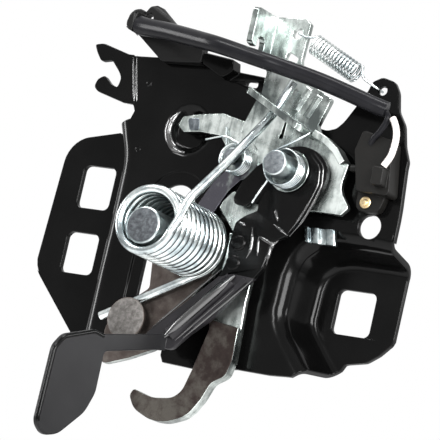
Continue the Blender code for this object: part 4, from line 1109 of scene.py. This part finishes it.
sleeve_line = route(SLEEVE, 1.5)
flare = [1.0 + 0.18 * max(0.0, 1.0 - i / 42) for i in range(len(sleeve_line))]
adopt(drawn("cable_sleeve_tube", sleeve_line, 3.1, TUBE, 40, flare), "cable_sleeve")
adopt(drawn("white_wire_lead", route(WHITE_LEAD, 1.0)[4:], 1.25, WHITE, 24), "white_wire")
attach(drawn("black_wire_lead", route(BLACK_LEAD, 1.0), 1.15, TUBE, 20), "frame")


# Camera, from the photograph's viewing angle

AIM = Vector((0.057, 0.0, 0.0075))
AZIMUTH, ELEVATION, ROLL = math.radians(30.0), math.radians(-9.0), math.radians(12.8)
SENSOR, FRAME_PIXELS, FOCAL_PIXELS, STAND_OFF = 36.0, 440.0, 2860.0, 1.1


def camera_at_photograph():
    """Camera that looks at the latch from the photograph's side, below and turned."""
    away = Vector((math.cos(ELEVATION) * math.sin(AZIMUTH), -math.cos(ELEVATION) * math.cos(AZIMUTH),
                   math.sin(ELEVATION)))
    right = Vector((math.cos(AZIMUTH), math.sin(AZIMUTH), 0.0))
    upward = right.cross(-away)
    image_x = right * math.cos(ROLL) + upward * math.sin(ROLL)
    image_y = upward * math.cos(ROLL) - right * math.sin(ROLL)
    turn = Matrix((image_x, image_y, away)).transposed().to_4x4()
    lens = bpy.data.cameras.new("camera")
    lens.sensor_fit = "HORIZONTAL"
    lens.sensor_width = SENSOR
    lens.lens = SENSOR * FOCAL_PIXELS / FRAME_PIXELS
    lens.clip_end = 20.0
    camera = in_scene("camera", lens)
    camera.matrix_world = Matrix.Translation(AIM + away * STAND_OFF) @ turn
    bpy.context.scene.camera = camera


camera_at_photograph()


# Floor and light

ROOM_LIGHT = 0.2
FLOOR_Z, FLOOR_HALF = -0.55, 3.0


def white_seen(tree):
    """1 wherever the camera or a clear reflection looks, 0 for all other light."""
    path = add(tree, "ShaderNodeLightPath")
    first = add(tree, "ShaderNodeMath", {"operation": "MAXIMUM"},
                {0: path.outputs["Is Camera Ray"], 1: path.outputs["Is Glossy Ray"]})
    seen = add(tree, "ShaderNodeMath", {"operation": "MAXIMUM"},
               {0: first.outputs[0], 1: path.outputs["Is Transmission Ray"]})
    return seen.outputs[0]


def studio():
    """A dim even room for the light, and plain white wherever it is seen."""
    world = bpy.data.worlds.new("studio")
    bpy.context.scene.world = world
    world.use_nodes = True
    tree = world.node_tree
    tree.nodes.clear()
    room = add(tree, "ShaderNodeBackground", {"Color": linear("#ffffff"), "Strength": ROOM_LIGHT})
    white = add(tree, "ShaderNodeBackground", {"Color": linear("#ffffff"), "Strength": 1.0})
    mixed = add(tree, "ShaderNodeMixShader", links={0: white_seen(tree), 1: room.outputs[0],
                                                    2: white.outputs[0]})
    add(tree, "ShaderNodeOutputWorld", links={"Surface": mixed.outputs[0]})


def paper_floor():
    """Plain pale floor under the latch."""
    finish, _, shader, _ = start("floor_paper")
    shader.inputs["Base Color"].default_value = linear("#f4f4f4")
    shader.inputs["Roughness"].default_value = 0.9
    bm = bmesh.new()
    bmesh.ops.create_grid(bm, x_segments=1, y_segments=1, size=FLOOR_HALF)
    for vert in bm.verts:
        vert.co.z = FLOOR_Z
    from_bmesh("floor", bm, [finish])


def soft_light(name, place, width, height, power):
    """Rectangular lamp that faces the latch."""
    lamp = bpy.data.lights.new(name, "AREA")
    lamp.shape = "RECTANGLE"
    lamp.size = width
    lamp.size_y = height
    lamp.energy = power
    obj = in_scene(name, lamp)
    obj.location = place
    obj.rotation_euler = (AIM - Vector(place)).to_track_quat("-Z", "Y").to_euler()


studio()
paper_floor()
soft_light("key_light", (-0.55, -0.9, 1.1), 0.5, 0.3, 18.0)
soft_light("fill_light", (1.2, -0.9, 0.3), 0.9, 0.7, 60.0)
soft_light("strip_light", (0.1, -1.5, 0.24), 0.25, 0.5, 12.0)
soft_light("rim_light", (1.3, 0.55, 0.35), 0.4, 0.4, 9.0)
soft_light("side_light", (-1.3, -0.35, 0.2), 0.3, 0.6, 12.0)
soft_light("top_light", (0.1, -0.35, 1.4), 0.8, 0.3, 22.0)

bpy.context.scene.view_settings.view_transform = "Standard"
bpy.context.view_layer.update()
